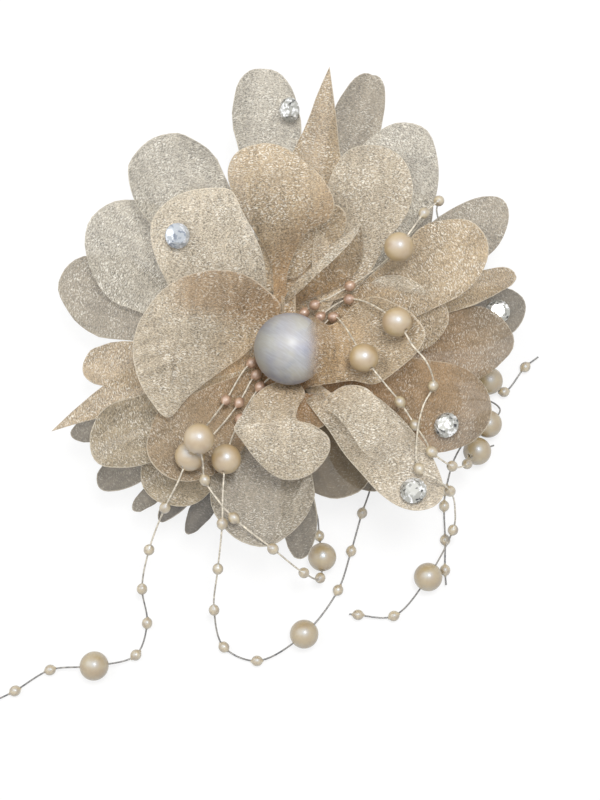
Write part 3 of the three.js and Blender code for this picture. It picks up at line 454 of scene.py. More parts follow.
STRANDS = {
    "a": [
        (-5.1, -4, 16.2), (-9.5, -5.5, 16.6, BEAD), (-14.1, -13.9, 19.2, BEAD), (-20.5, -23.5, 25.5),
        (-26.2, -30.4, 32.6, PEARL), (-29.5, -37.8, 32.6), (-33.2, -43.5, 26.5, BEAD),
        (-38.6, -54, 15, BEAD), (-41.4, -64.4, 6, BEAD), (-40.3, -73.8, 1.8, BEAD),
        (-43.3, -82.6, 1.6, BEAD), (-54.5, -85.5, 4.1, PEARL), (-67.2, -86.7, 1.6, BEAD),
        (-76.8, -92.4, 1.6, BEAD), (-82, -94.9, 1.6),
    ],
    "b": [
        (-4.2, -5, 16.2), (-8.4, -8.9, 16.6, BEAD), (-13.7, -18.6, 20.5, BEAD), (-16.8, -31, 31, PEARL),
        (-17.5, -39.8, 31.5), (-17.7, -48, 30, BEAD), (-19.5, -59.3, 18, BEAD), (-21.1, -70.2, 7.5, BEAD),
        (-18.6, -80.4, 1.8, BEAD), (-9.3, -84.2, 1.6, BEAD), (3.9, -76.8, 4.1, PEARL),
        (13.5, -64.6, 1.6, BEAD), (17.3, -53.6, 1.6, BEAD), (20.5, -42.8, 1.6, BEAD), (22.8, -36.2, 1.6),
        (24, -30, 1.6),
    ],
    "c": [
        (-5.8, -2.8, 16.2), (-10.7, -2.1, 16.6, BEAD), (-17.6, -13.4, 20.8, BEAD), (-20.8, -20, 29),
        (-23.3, -26.9, 39.8, PEARL), (-22.6, -32.3, 35), (-22.3, -36.6, 31, BEAD), (-18.9, -41.7, 30),
        (-14.6, -46.5, 30, BEAD), (-4.4, -54.4, 27, BEAD), (3.8, -60.2, 14, BEAD), (8.4, -61.3, 5, BEAD),
        (9, -55.4, 4.1, PEARL), (8.2, -49.3, 1.6, BEAD), (7.6, -43.4, 1.6), (5, -38, 1.6),
    ],
    "d": [
        (4.2, 5, 16.2), (8.4, 10.9, 17.7, BEAD), (16.4, 15.3, 20.5, BEAD), (28.7, 5.7, 33, PEARL),
        (32.7, -1.3, 35), (36, -5.5, 35.6), (38.6, -10.8, 28, BEAD), (36.2, -15.5, 26.5), (33.8, -24.6, 31),
        (33.7, -34.2, 36, BEAD), (38.1, -37.3, 38), (42.2, -39.5, 31, BEAD), (45.3, -43.2, 16),
        (45.6, -48.1, 8, BEAD), (38.8, -61, 4.1, PEARL), (29.2, -71.8, 1.6, BEAD), (19.1, -71.5, 1.6, BEAD),
        (16.6, -71.3, 1.6),
    ],
    "e": [
        (5.1, 4, 16.2), (12, 10.9, 17.6, BEAD), (14.7, 7.8, 21.5), (17.1, 3.1, 24.5),
        (20, -3.2, 28.5, PEARL), (22.6, -6.7, 29.3), (25.6, -10.3, 28.5), (29.7, -15, 27, BEAD),
        (33.7, -21.2, 26.5, BEAD), (36, -25.8, 30), (37.3, -29.5, 33.9, BEAD), (43.4, -32.4, 27, BEAD),
        (49.2, -30.2, 14, BEAD), (53.5, -25.3, 4.1, PEARL), (58.5, -23.5, 3),
    ],
    "f": [
        (2.8, 5.8, 16.2), (3.9, 12.2, 17, BEAD), (6.9, 13.9, 19.4, BEAD), (11.6, 15.6, 22.6),
        (16.6, 18.6, 22.4, BEAD), (24.1, 22.4, 28), (29.3, 25.8, 35.4, PEARL), (32.8, 30.4, 36.8),
        (36.3, 35.5, 34.9, BEAD), (40.9, 40.5, 30.4, BEAD), (41.7, 42.8, 22), (42.4, 43.6, 12),
        (44.5, 42.5, 4.5), (50.5, 37.5, 1.6), (58, 26, 1.6), (57, 10, 1.6), (57.4, -4.8, 4.1, PEARL),
        (62.1, -7.6, 1.6, BEAD), (68.5, -0.2, 1.6, BEAD), (72.4, 2.8, 1.6),
    ],
    "g": [
        (21.3, -7.7, 9), (28, -8.6, 5.6), (33, -9.1, 3), (40, -9.5, 1.6), (50, -9.8, 1.6), (58, -10.4, 1.8),
        (60.6, -13.2, 2.9), (56.8, -17.4, 4.1, PEARL), (52, -20.3, 2.6), (47.6, -26.5, 1.6),
        (44.6, -36.2, 1.6, BEAD), (44, -40.8, 1.6, BEAD), (44.1, -50.5, 1.6, BEAD), (43.9, -59, 1.6, BEAD),
        (44.1, -63.2, 1.6),
    ],
}


def tangents(points):
    """For each span of a centripetal Catmull-Rom curve, its tangents at both ends."""
    padded = [2 * points[0] - points[1]] + points + [2 * points[-1] - points[-2]]
    spans = []
    for p0, p1, p2, p3 in zip(padded, padded[1:], padded[2:], padded[3:]):
        d0, d1, d2 = (math.sqrt((b - a).length) for a, b in ((p0, p1), (p1, p2), (p2, p3)))
        start = ((p1 - p0) / d0 - (p2 - p0) / (d0 + d1) + (p2 - p1) / d1) * d1
        end = ((p2 - p1) / d1 - (p3 - p1) / (d1 + d2) + (p3 - p2) / d2) * d1
        spans.append((start, end))
    return spans


def hermite(a, b, start, end, t):
    """A point on the span from a to b with these tangents."""
    return a + start * t + (3 * (b - a) - 2 * start - end) * t * t + (2 * (a - b) + start + end) * t ** 3


def strand_curve(name, points, spans):
    curve = bpy.data.curves.new(name, "CURVE")
    curve.dimensions = "3D"
    curve.bevel_depth = LINE_DIAMETER / 2 * MM
    curve.bevel_resolution = 2
    curve.resolution_u = 10
    curve.use_fill_caps = True
    spline = curve.splines.new("BEZIER")
    spline.bezier_points.add(len(points) - 1)
    for i, knot in enumerate(spline.bezier_points):
        before = spans[i - 1][1] if i > 0 else spans[0][0]
        after = spans[i][0] if i < len(spans) else spans[-1][1]
        knot.handle_left_type = knot.handle_right_type = "FREE"
        knot.co = metres(points[i])
        knot.handle_left = metres(points[i] - before / 3)
        knot.handle_right = metres(points[i] + after / 3)
    return curve


def bead_form(place, along):
    """A bead moulded on the line: a ball a little longer than wide, with a short neck at each end."""
    rows = 10
    thinner, later = NECK_TAPER
    neck = [(NECK_RADIUS * thinner, BEAD_RADIUS + NECK_LENGTH * later), (NECK_END, BEAD_RADIUS + NECK_LENGTH)]
    profile = [(width, -height) for width, height in reversed(neck)]
    for i in range(1, rows):
        angle = math.pi * i / rows
        width = max(BEAD_RADIUS * math.sin(angle), NECK_RADIUS)
        profile.append((width, -BEAD_STRETCH * BEAD_RADIUS * math.cos(angle)))
    return turned(profile + neck, 14, place, along)


def build_strands():
    number = 0
    for name, route in STRANDS.items():
        points = [Vector(stop[:3]) for stop in route]
        spans = tangents(points)
        curve = strand_curve("line_" + name, points, spans)
        line = add_object("line_" + name, curve, CLEAR_LINE, "strand_" + name)
        beads, strung = [], []
        for i, stop in enumerate(route):
            if len(stop) == 3:
                continue
            along = (spans[i][0] if i < len(spans) else spans[-1][1]).normalized()
            if stop[3] == BEAD:
                # Beads low among the petals near the middle get painted shade
                near = math.hypot(stop[0], stop[1]) < SHADED_BEAD_REACH and stop[2] < SHADED_BEAD_HEIGHT
                beads.append((bead_form(points[i], along), 1 if near else 0))
                continue
            number += 1
            form = turned(bored_ball(PEARL_RADIUS, PEARL_BORE, 24), 32, points[i], along, ring=True)
            pearl = f"pearl_{number}"
            strung.append(dress("strung_" + pearl, form, CREAM_PEARL, pearl))
        mesh = solids("beads_" + name, beads, [SMALL_BEAD, SHADED_BEAD])
        strung.append(add_object("beads_" + name, mesh))


build_strands()


# Petals

FLOWER_REACH = 86
HUB_RADIUS = 10
HUB_MIDDLE = 6.0
HOLE_RADIUS = 2.5
RISE_EASE = 8
LAYER_AIR = 0.4
CAD_SHEET = 0.4
SEAT_GAP = 0.3
TIP_SHARE = 0.2
RISES = (6, 12, 19, 27, 37, 50, 60)
SHEET = 0.14
SEALED_EDGE = 0.26
RIM_WIDTH = 0.3
FIRST_LAYER_Z = corners("petal_layer_1")[0].z
LAYER_STEP = CAD_SHEET + SEAT_GAP

LIGHT = colour(196, 184, 164)
PALE = colour(174, 167, 153)
BEIGE = colour(179, 166, 145)
GOLD = colour(174, 155, 127)
TAN = colour(157, 130, 97)
GREY = colour(155, 145, 128)
# Painted shade in the next three tones: darker, for petals that lie under others
SHADE = colour(127, 118, 103)
DARK_SHADE = colour(108, 101, 91)
OLIVE_SHADE = colour(117, 104, 83)
DULL = colour(163, 149, 125)
# Painted shade: darker, for the lobe under the left petal's lower edge
DUSKY_SHADE = colour(156, 136, 109)


# Forms of lobes: the share of its layer's room that a lobe takes up at its tip, at a place across it

def cup(aside):
    return 0.1 + 0.8 * aside * aside


def dome(aside):
    return 0.85 - 0.7 * aside * aside


def crease(aside):
    return 0.1 + 0.8 * abs(aside)


def right_up(aside):
    return 0.1 + 0.2 * (1 - aside) ** 2


def flat(aside):
    return 0.3


# Each lobe: direction in degrees, reach as a share of the flower's, width as a share of its reach, form and
# tone, for a pointed lobe the share of its reach that tapers, and for a bent one the degrees its tip swings
PETALS = [
    [
        (12, 0.79, 0.25, cup, SHADE), (35, 0.86, 0.25, dome, GREY), (50, 0.71, 0.25, flat, GREY),
        (74, 1, 0.17, crease, GREY), (122, 0.67, 0.34, flat, GREY), (161, 0.79, 0.35, dome, GREY),
        (183, 0.68, 0.24, cup, GOLD), (201, 0.75, 0.14, dome, SHADE), (214.8, 0.75, 0.18, cup, SHADE),
        (225.5, 0.71, 0.1, dome, SHADE), (232.5, 0.68, 0.11, cup, DARK_SHADE), (240.7, 0.67, 0.11, dome, DARK_SHADE),
        (273, 0.66, 0.17, crease, SHADE), (308, 0.53, 0.43, flat, OLIVE_SHADE), (342, 0.58, 0.4, flat, SHADE),
    ],
    [
        (3.5, 0.71, 0.36, dome, TAN), (22, 0.77, 0.14, crease, GOLD, 0, -3), (60, 0.67, 0.31, flat, BEIGE),
        (96, 0.95, 0.23, cup, PALE), (146, 0.77, 0.46, dome, PALE), (184, 0.79, 0.3, crease, GOLD, 0.55, 15),
        (227, 0.64, 0.38, cup, DULL), (293, 0.5, 0.56, dome, OLIVE_SHADE),
    ],
    [
        (15, 0.52, 0.4, dome, GOLD), (59, 0.8, 0.38, dome, PALE), (82, 0.91, 0.2, crease, GOLD, 0.36),
        (124.5, 0.81, 0.36, cup, PALE), (209, 0.7, 0.32, cup, DULL), (259, 0.63, 0.52, right_up, GREY),
        (338.5, 0.66, 0.47, dome, TAN),
    ],
    [(29, 0.69, 0.36, flat, GOLD), (224, 0.56, 0.5, flat, DUSKY_SHADE)],
    [],
    [],
]
ROWS = 34
COLUMNS = 18
BASE_FULLNESS = 0.7
LOBE_OVERLAP = 0.5
EDGE_WAVE = 0.9
END_WAVES = 0.13
SIDE_WAVES = 0.09
RIPPLES_ACROSS = 0.11
RIPPLES_ALONG = 0.06
RIPPLE_SHARE = 0.16
SEED_STEP = 0.37
# Radii between which lobes get a painted warm glow, browner towards the middle, and tan ones painted shade,
# greyer towards their tips
LOBE_GLOW_RADII = (14, 40)
TAN_TIP_SHADE_RADII = (40, 62)
TAN_TIP_SHADE = 0.7


def rise_run(radius):
    out = max(0.0, radius - HUB_RADIUS)
    return out * out / (2 * RISE_EASE) if out < RISE_EASE else out - RISE_EASE / 2


def layer_floor(layer, radius):
    return FIRST_LAYER_Z + LAYER_STEP * layer + math.tan(math.radians(RISES[layer])) * rise_run(radius)


def layer_height(layer, radius, share):
    floor = layer_floor(layer, radius)
    room = max(0.0, layer_floor(layer + 1, radius) - floor - CAD_SHEET - SEAT_GAP - LAYER_AIR)
    return floor + CAD_SHEET / 2 + share * room


def ease(value, start, end):
    t = min(1.0, max(0.0, (value - start) / (end - start)))
    return t * t * (3 - 2 * t)


def toned(tone, other, share):
    """A tone that goes over to another one by a share."""
    return [t + (o - t) * share for t, o in zip(tone[:3], other)]


class Cloth:
    """Sheets of organza in one mesh, with what its material reads at each point."""

    def __init__(self):
        # Each dot: its point, cloth coordinates, place when laid flat, whether it is on a rim, tone and veil
        self.dots, self.faces = [], []

    def add_grid(self, rows, tone, direction, edges):
        """Rows of (point, across, out), the last two laid flat, and which edges are sealed: sides, end."""
        start = len(self.dots)
        count = len(rows[0])
        seed = start * SEED_STEP
        turn = math.radians(direction)
        cos, sin = math.cos(turn), math.sin(turn)
        for i, row in enumerate(rows):
            for j, (point, across, out) in enumerate(row):
                spread = (out * cos - across * sin, out * sin + across * cos)
                border = (edges[0] and j in (0, count - 1)) or (edges[1] and i == len(rows) - 1)
                # Painted shade: tan lobes greyer towards their tips, and all lobes get the painted warm glow
                # near the middle
                dusk = TAN_TIP_SHADE * ease(point.xy.length, *TAN_TIP_SHADE_RADII) if tone == TAN else 0.0
                shade = with_painted_glow(toned(tone, SHADE, dusk), point.xy.length, *LOBE_GLOW_RADII)
                self.dots.append((point, (across, out, seed), spread, border, shade, 0.0))
        for i in range(len(rows) - 1):
            a = start + i * count
            self.faces += quads(a, a + count, count - 1, count)

    def add_fan(self, rings):
        """Closed rings of (point, tone, veil) round a middle one."""
        start = len(self.dots)
        seed = start * SEED_STEP
        count = len(rings[1])
        for ring in rings:
            for point, tone, veil in ring:
                place = (point.x, point.y)
                self.dots.append((point, place + (seed,), place, ring is rings[-1], tone, veil))
        pairs = [(j, (j + 1) % count) for j in range(count)]
        self.faces += [(start, start + 1 + j, start + 1 + k) for j, k in pairs]
        for i in range(len(rings) - 2):
            a = start + 1 + i * count
            self.faces += [(a + j, a + count + j, a + count + k, a + k) for j, k in pairs]

    def object(self, name, node):
        points, cloth, spread, rims, tones, veils = zip(*self.dots)
        made = dress(name, (points, self.faces), ORGANZA, node)
        mesh = made.data
        for label, kind, field, values in (
            ("cloth", "FLOAT_VECTOR", "vector", cloth), ("rim", "FLOAT", "value", rims),
            ("tone", "FLOAT_COLOR", "color", tones), ("veil", "FLOAT", "value", veils),
        ):
            layer = mesh.attributes.new(label, kind, "POINT")
            layer.data.foreach_set(field, np.array(values, dtype=np.float32).ravel())
        group = made.vertex_groups.new(name="sealed")
        for index, rim in enumerate(rims):
            group.add([index], 1.0 if rim else SHEET / SEALED_EDGE, "REPLACE")
        thick = made.modifiers.new("thickness", "SOLIDIFY")
        thick.thickness = SEALED_EDGE * MM
        thick.offset = 0
        thick.vertex_group = "sealed"


def lobe_columns(half):
    """Places across a lobe, from -1 to 1, with a narrow strip along each edge."""
    strip = min(0.25, RIM_WIDTH / half)
    inner = [(1 - strip) * math.sin(math.pi * (j / COLUMNS - 0.5)) for j in range(COLUMNS + 1)]
    return [-1.0] + inner + [1.0]


def lobe_rows(length):
    strip = RIM_WIDTH / length
    return [(1 - strip) * i / ROWS for i in range(ROWS + 1)] + [1.0]


def lobe(cloth, layer, spec, number):
    """One lobe of a layer. The odd factors in its noise keep the lobes unlike each other."""
    direction, reach_share, width_share, form, tone, taper, bend = (spec + (0, 0))[:7]
    reach = reach_share * FLOWER_REACH
    half = width_share * reach / 2
    tip = taper * reach if taper else max(half, TIP_SHARE * reach)
    widest = reach - tip
    turn = math.radians(direction)
    rows, outs = [], {}
    for share in lobe_rows(reach - HUB_RADIUS):
        row = []
        for across in lobe_columns(half):
            end = widest + tip * (1 - abs(across) if taper else math.sqrt(1 - across * across))
            end += EDGE_WAVE * noise.noise(Vector((across * half * END_WAVES, number * 5.3, layer * 9.1)))
            radius = HUB_RADIUS - LOBE_OVERLAP + (end - HUB_RADIUS + LOBE_OVERLAP) * share
            side = across * half * min(1.0, radius / widest) ** BASE_FULLNESS
            seed = across * 3.1 + number * 4.7
            side += EDGE_WAVE * across * noise.noise(Vector((radius * SIDE_WAVES, seed, layer * 7.7)))
            along = max(0.0, (radius - HUB_RADIUS) / (reach - HUB_RADIUS))
            seed = number * 3.7 + layer * 11.3
            ripple = noise.noise(Vector((side * RIPPLES_ACROSS, radius * RIPPLES_ALONG, seed)))
            lift = along * form(side / half) + RIPPLE_SHARE * along * ripple
            angle = turn + math.radians(bend) * along + math.asin(max(-1.0, min(1.0, side / radius)))
            point = around(radius, angle, layer_height(layer, radius, min(1.0, max(0.0, lift))))
            last, out = outs.get(across, (None, radius))
            out = radius if last is None else out + (point - last).length
            outs[across] = (point, out)
            row.append((point, side, out))
        rows.append(row)
    cloth.add_grid(rows, tone, direction, (True, True))


def hub(cloth, layer, tone):
    height = layer_height(layer, 0, 0)
    segments = 48
    rows = []
    for radius in (HOLE_RADIUS, HUB_MIDDLE, HUB_RADIUS):
        row = [around(radius, 2 * math.pi * i / segments, height) for i in range(segments + 1)]
        rows.append([(point, point.y, point.x) for point in row])
    cloth.add_grid(rows, tone, 0, (False, False))


# Leaves: petals whose outline and heights are set point by point. Each has its layer, its tone, where its
# stem meets it, its outline from the base round, and points inside it, with heights above the lowest layer.
# Those without a stem are turned-over edges and folds of others
LEAVES = {
    "upper": (5, GOLD, (-3, 17.5), [
        (-4, 14.2, 6), (-5.4, 25.6, 11), (-10.8, 33.9, 18.5), (-15.3, 40.7, 23), (-16.8, 47, 26),
        (-14.3, 51.4, 28), (-7.2, 53.6, 29), (-2.1, 52.7, 29), (3.8, 48.7, 29), (9.2, 43.3, 28.5),
        (11.9, 37.6, 27), (10.9, 34.2, 24.5), (4.9, 32.1, 19), (1.4, 27.7, 14.5), (-0.9, 21.8, 10),
        (-1.4, 14.2, 6),
    ], [(-2.4, 42.2, 28.5), (-1.6, 34.2, 23), (-3.1, 26.9, 14.5)]),
    "upper_right": (4, BEIGE, (12, 19), [
        (7.8, 16, 7), (6.1, 25.9, 11), (7.7, 35.9, 16), (9.9, 43.8, 20), (12.6, 49.6, 23), (15.6, 52.9, 25),
        (20.4, 54.2, 26), (25.9, 53.6, 26), (31, 50.1, 25.5), (33.3, 44.3, 24), (33.1, 39.3, 22),
        (31, 34.9, 20), (26.7, 30, 17.5), (23.1, 23.6, 13), (15.9, 16.7, 8.5),
    ], [(21.8, 44.8, 25), (19.8, 35.5, 19), (15.3, 26.2, 12)]),
    "standing": (6, GOLD, (-0.5, 15.8), [
        (-2.6, 14, 7), (0.8, 17.3, 16), (5.5, 20.4, 21), (11.9, 25, 25.5), (16.4, 28.9, 28),
        (18.7, 30.8, 29), (19.9, 28.5, 22), (20, 25.5, 16), (17.3, 21.2, 11), (10.9, 17.6, 9.3),
        (3.5, 15.2, 7.5),
    ], [(6.8, 19.4, 20), (13, 23.9, 24.5), (9.3, 19.2, 13.5), (15, 23.2, 16.5)]),
    "upper_left": (4, LIGHT, (-13, 19), [
        (-7.4, 15, 6), (-6.7, 20.1, 12), (-7.4, 25.4, 18.5), (-10, 30.6, 23.5), (-12.9, 35.7, 26),
        (-15.9, 41, 27), (-22.7, 42, 26), (-28.6, 41, 25.5), (-33.6, 38, 25.5), (-37.4, 33.4, 24),
        (-37.7, 28.5, 22), (-35.7, 22.1, 18), (-32, 16.9, 13), (-21.2, 15.7, 8),
    ], [(-31, 30, 21.6), (-33.5, 28.5, 22.2), (-27.5, 31.5, 20.9), (-20, 32, 21), (-17.9, 25.8, 16.5)]),
    "left": (5, BEIGE, (-12.5, 5.5), [
        (-2.5, 12.1, 12), (-7.5, 17.6, 15), (-13.7, 20.8, 17.5), (-22.5, 20.5, 20.5), (-32.6, 16.2, 22),
        (-39.3, 7.6, 23), (-41.8, -0.6, 23), (-40.7, -8.6, 22), (-37.1, -15.3, 20.5), (-32.6, -19.6, 18.5),
        (-27.4, -12.7, 13.5), (-19, -4.7, 8.5), (-11.3, 1.9, 5.5), (-8, 7.6, 5.5),
    ], [
        (-28.5, 0.6, 17.5), (-18.9, 4.8, 11.5), (-17.9, 13.7, 15.5), (-9.8, 13.6, 10.5), (-34.9, -1.4, 20.5),
    ]),
    "lower": (6, BEIGE, (-2, -12), [
        (-4.2, -8.1, 8), (-9.1, -11.7, 11), (-11.8, -17.6, 18), (-14.4, -22.8, 23), (-11.5, -27.4, 23),
        (-7.8, -31.9, 22), (-2.8, -35.7, 20), (1.7, -36.1, 19.5), (6.7, -33.9, 21), (10.3, -29.3, 24),
        (10.3, -26.1, 26), (5.9, -22.8, 27), (2, -21.2, 25), (2.2, -16.8, 18), (4.1, -11.9, 12),
        (2.2, -8.3, 8),
    ], [(-1.7, -26.4, 24.5), (-1.2, -31, 23), (-3.4, -16.7, 17.5)]),
    "veil": (5, GOLD, (16, -6), [
        (6.3, 7.8, 19.8), (5.6, 5.3, 22.8), (4.3, 2.4, 25), (3.5, -3, 25.6), (4.1, -7.4, 23),
        (3.8, -10.6, 17), (10.4, -9.4, 13.5), (17, -8.2, 11.5), (23.5, -9.3, 13), (29.6, -5.9, 17),
        (34.4, -1.8, 21), (36.1, 2, 23.5), (33.4, 7.6, 22), (28.6, 11.8, 18.5), (22.9, 15, 14),
        (17.5, 13.4, 9.6), (14.2, 10.1, 7.6), (10.3, 7.9, 9.8),
    ], [
        (9.5, -0.2, 21), (8.7, -5.9, 18.5), (12.6, -0.9, 15.5), (15.9, -0.9, 12.8), (20.3, -2.1, 13),
        (29.1, 5.2, 16.6), (24.6, 1.2, 14.4),
    ]),
    "lower_right": (4, BEIGE, (11, -14.5), [
        (4.4, -12.4, 8.5), (6.9, -17.6, 14), (10.3, -22.4, 17), (14, -28.7, 19.5), (18.9, -34.9, 21.5),
        (23.4, -40.1, 22.5), (28, -43.6, 24), (32.6, -45, 25.5), (37.3, -44, 26.5), (39.9, -40.9, 26),
        (39.8, -36.9, 23.6), (36.9, -29.1, 21), (33.2, -23.7, 18.5), (28, -17.5, 16.5), (22.6, -13, 16),
        (18.5, -10.8, 14.5), (13, -11.3, 11),
    ], [
        (12, -20.2, 13), (17, -27, 16.5), (22, -33.5, 20), (12.8, -15.8, 18.5), (17.8, -20.7, 22),
        (22.5, -26, 22.5), (27, -32, 22.3), (32.4, -40.1, 24.2),
    ]),
    "lip": (6, BEIGE, None, [
        (-2.8, 13.8, 7.6), (0.6, 17.4, 16.6), (5.3, 20.6, 21.6), (11.7, 25.2, 26.1), (16.2, 29.1, 28.6),
        (18.8, 31, 29.5), (17.8, 28.4, 28.3), (13.2, 23.6, 25.4), (7, 19, 20.8), (2.4, 15.9, 15.4),
    ], []),
    "flap": (6, BEIGE, None, [
        (-14.6, -22.8, 23.4), (-10.4, -22.4, 24.6), (-5.9, -22.3, 25.8), (0.1, -21.6, 26.6),
        (3.5, -22.5, 27.6), (6.1, -23.9, 27.8), (9.8, -25.7, 26.8), (10.6, -29, 24.8), (6.9, -34.1, 21.4),
        (1.7, -36.4, 20), (-2.9, -36, 20.4), (-8, -32.2, 22.4), (-11.8, -27.5, 23.6),
    ], [(-1.7, -27.4, 25.4), (-1.2, -31, 23.8)]),
    "gather": (5, TAN, None, [
        (0.5, -11.5, 8), (-0.5, -17, 12), (3, -21.5, 15), (7.5, -22, 14.5), (11, -18.5, 12), (9.5, -12.5, 9),
    ], []),
    "folded": (5, BEIGE, None, [
        (8.7, -15.3, 13.8), (12.1, -19, 19.8), (15.9, -24.1, 22.8), (19, -29, 23.8), (22.9, -32.2, 24),
        (27.6, -34.8, 24), (32.8, -36.4, 24.6), (35.5, -32.9, 24), (33, -27.5, 23.4), (29.2, -22.1, 22.4),
        (25.4, -18.4, 21), (23.6, -15, 19.8), (20.2, -11.5, 18.8), (14.9, -10.6, 16.8), (10.9, -12.7, 14.8),
    ], [(18, -21, 24), (23.5, -26.5, 24.4)]),
    "tuck": (4, BEIGE, None, [
        (22.8, 19.6, 11.5), (24.4, 20.8, 12.5), (27.1, 21.1, 13.7), (30.4, 20.7, 14.9), (33.6, 19.2, 15.9),
        (36.2, 17.3, 16.6), (38.6, 15.5, 17.3), (36.7, 14.6, 16.3), (32.5, 15.6, 14.6), (28.2, 16.9, 12.9),
        (24.5, 17.9, 11.6),
    ], []),
    "upper_fold": (5, GOLD, None, [
        (-2.1, 22.9, 6), (-1.5, 26.7, 8), (0.5, 31.1, 11), (2.7, 34.8, 14), (6.1, 37.8, 17), (9.9, 39.1, 20),
        (13.2, 38.8, 21), (15.4, 36.2, 20), (14.9, 32.6, 17), (11.1, 29.9, 13), (6.1, 26.1, 10),
        (1.6, 22.3, 7),
    ], []),
    "left_fold": (5, GOLD, None, [
        (-2.1, 21.4, 6), (-5.2, 18.5, 6), (-8, 20.6, 7), (-9.6, 24.7, 9), (-10.1, 28.4, 12), (-9, 31.3, 14),
        (-6.7, 31.3, 14), (-5.1, 28.7, 11), (-2.9, 25.5, 8),
    ], []),
    "roll": (3, GREY, None, [
        (4.3, -35, 17), (2.2, -39.3, 17), (-0.4, -44.1, 16.6), (-2.8, -48.8, 16.2), (-4.7, -52.2, 15.6),
        (-2.3, -51.1, 15.2), (0.6, -47.2, 15.6), (3.3, -41.4, 16), (5.9, -34.5, 17),
    ], []),
}
LEAF_RINGS = (0.1, 0.2, 0.3, 0.4, 0.49, 0.57, 0.65, 0.72, 0.78, 0.84, 0.89, 0.94)
LEAF_STEPS = 8
LEAF_FLOOR = FIRST_LAYER_Z + CAD_SHEET / 2
LEAF_WAVE = 0.35
LEAF_WAVES = 0.13
STEM_WIDTH = 4
STEM_OVERLAP = 2
STEM_COLUMNS = (-1, -0.5, 0, 0.5, 1)


def plate(points):
    """The height of a thin springy plate through the given points, at a place in plan."""
    known = np.array(points, float)
    places = known[:, :2]
    count = len(known)

    def pull(apart):
        return 0.5 * apart * np.log(np.maximum(apart, 1e-9))

    pulls = pull(((places[:, None] - places[None]) ** 2).sum(2))
    slope = np.column_stack([np.ones(count), places])
    system = np.block([[pulls, slope], [slope.T, np.zeros((3, 3))]])
    weights = np.linalg.solve(system, np.concatenate([known[:, 2], np.zeros(3)]))

    def height(x, y):
        near = pull(((places - (x, y)) ** 2).sum(1)) @ weights[:count]
        return float(near + weights[count] + weights[count + 1] * x + weights[count + 2] * y)

    return height


def closed_curve(points):
    """A smooth closed line in plan through points, in short steps."""
    ring = [Vector((p[0], p[1], 0)) for p in points]
    spans = tangents([ring[-1]] + ring + ring[:2])[1:-1]
    line = []
    for a, b, (start, end) in zip(ring, ring[1:] + ring[:1], spans):
        line += [hermite(a, b, start, end, k / LEAF_STEPS) for k in range(LEAF_STEPS)]
    return line


CENTRE_LOW, CENTRE_HIGH = corners("centre_pearl")
CENTRE = (CENTRE_LOW + CENTRE_HIGH) / 2
CENTRE_RADIUS = CENTRE_HIGH.x
PEARL_AIR = 0.35
# Painted warm glow near the middle of the flower, of the light that passes through and bounces between the
# layers: its tint and its greatest share
GLOW_TINT = (1.14, 0.98, 0.78)
GLOW_SHARE = 0.8


def over_pearl(x, y, z):
    """Keeps a point of the veil above the centre pearl."""
    reach = math.hypot(x - CENTRE.x, y - CENTRE.y)
    shell = CENTRE_RADIUS + PEARL_AIR
    if reach >= shell:
        return z
    return max(z, CENTRE.z + math.sqrt(shell * shell - reach * reach))


def with_painted_glow(tone, radius, inner, outer):
    """A tone that is browner near the middle of the flower, inside the outer radius: a painted warm glow of
    the light that passes through and bounces between the layers.
    """
    share = GLOW_SHARE * (1 - ease(radius, inner, outer))
    return tuple(t * (1 - share + share * d) for t, d in zip(tone, GLOW_TINT)) + (1.0,)


# How see-through some leaves get towards an edge, from 0 to 1, at a place in plan
THINNING = {
    "veil": lambda x, y: 1 - ease(x, 3.6, 10.5),
    "folded": lambda x, y: ease(x - y, 46, 60),
    "tuck": lambda x, y: 1 - ease(y + 0.33 * (x - 23), 18.6, 20.6),
}
# Where some leaves turn to the browner tone, as painted shade on their folds, and between which radii others
# get more of the painted warm glow than the rest
SHADING = {
    "left": lambda x, y: 0.75 * ease(y, 6, 13) * ease(x, -36, -26),
    "upper": lambda x, y: 0.5 * ease(x - 0.9 * y, -34, -22),
}
LEAF_GLOW_RADII = (9, 26)
GLOW_RADII = {"standing": (18, 34), "upper": (14, 38), "upper_right": (14, 42)}
PLEAT_SPACING = 4.2
PLEAT_DEPTH = 0.35
PLEAT_SLANT = math.radians(25)


def pleats(x, y):
    """Folds that slant over the lower end of the left petal."""
    across = y * math.cos(PLEAT_SLANT) - x * math.sin(PLEAT_SLANT)
    share = (1 - ease(x, -36, -22)) * (1 - ease(y, 2, 10))
    return PLEAT_DEPTH * share * math.sin(2 * math.pi * across / PLEAT_SPACING)


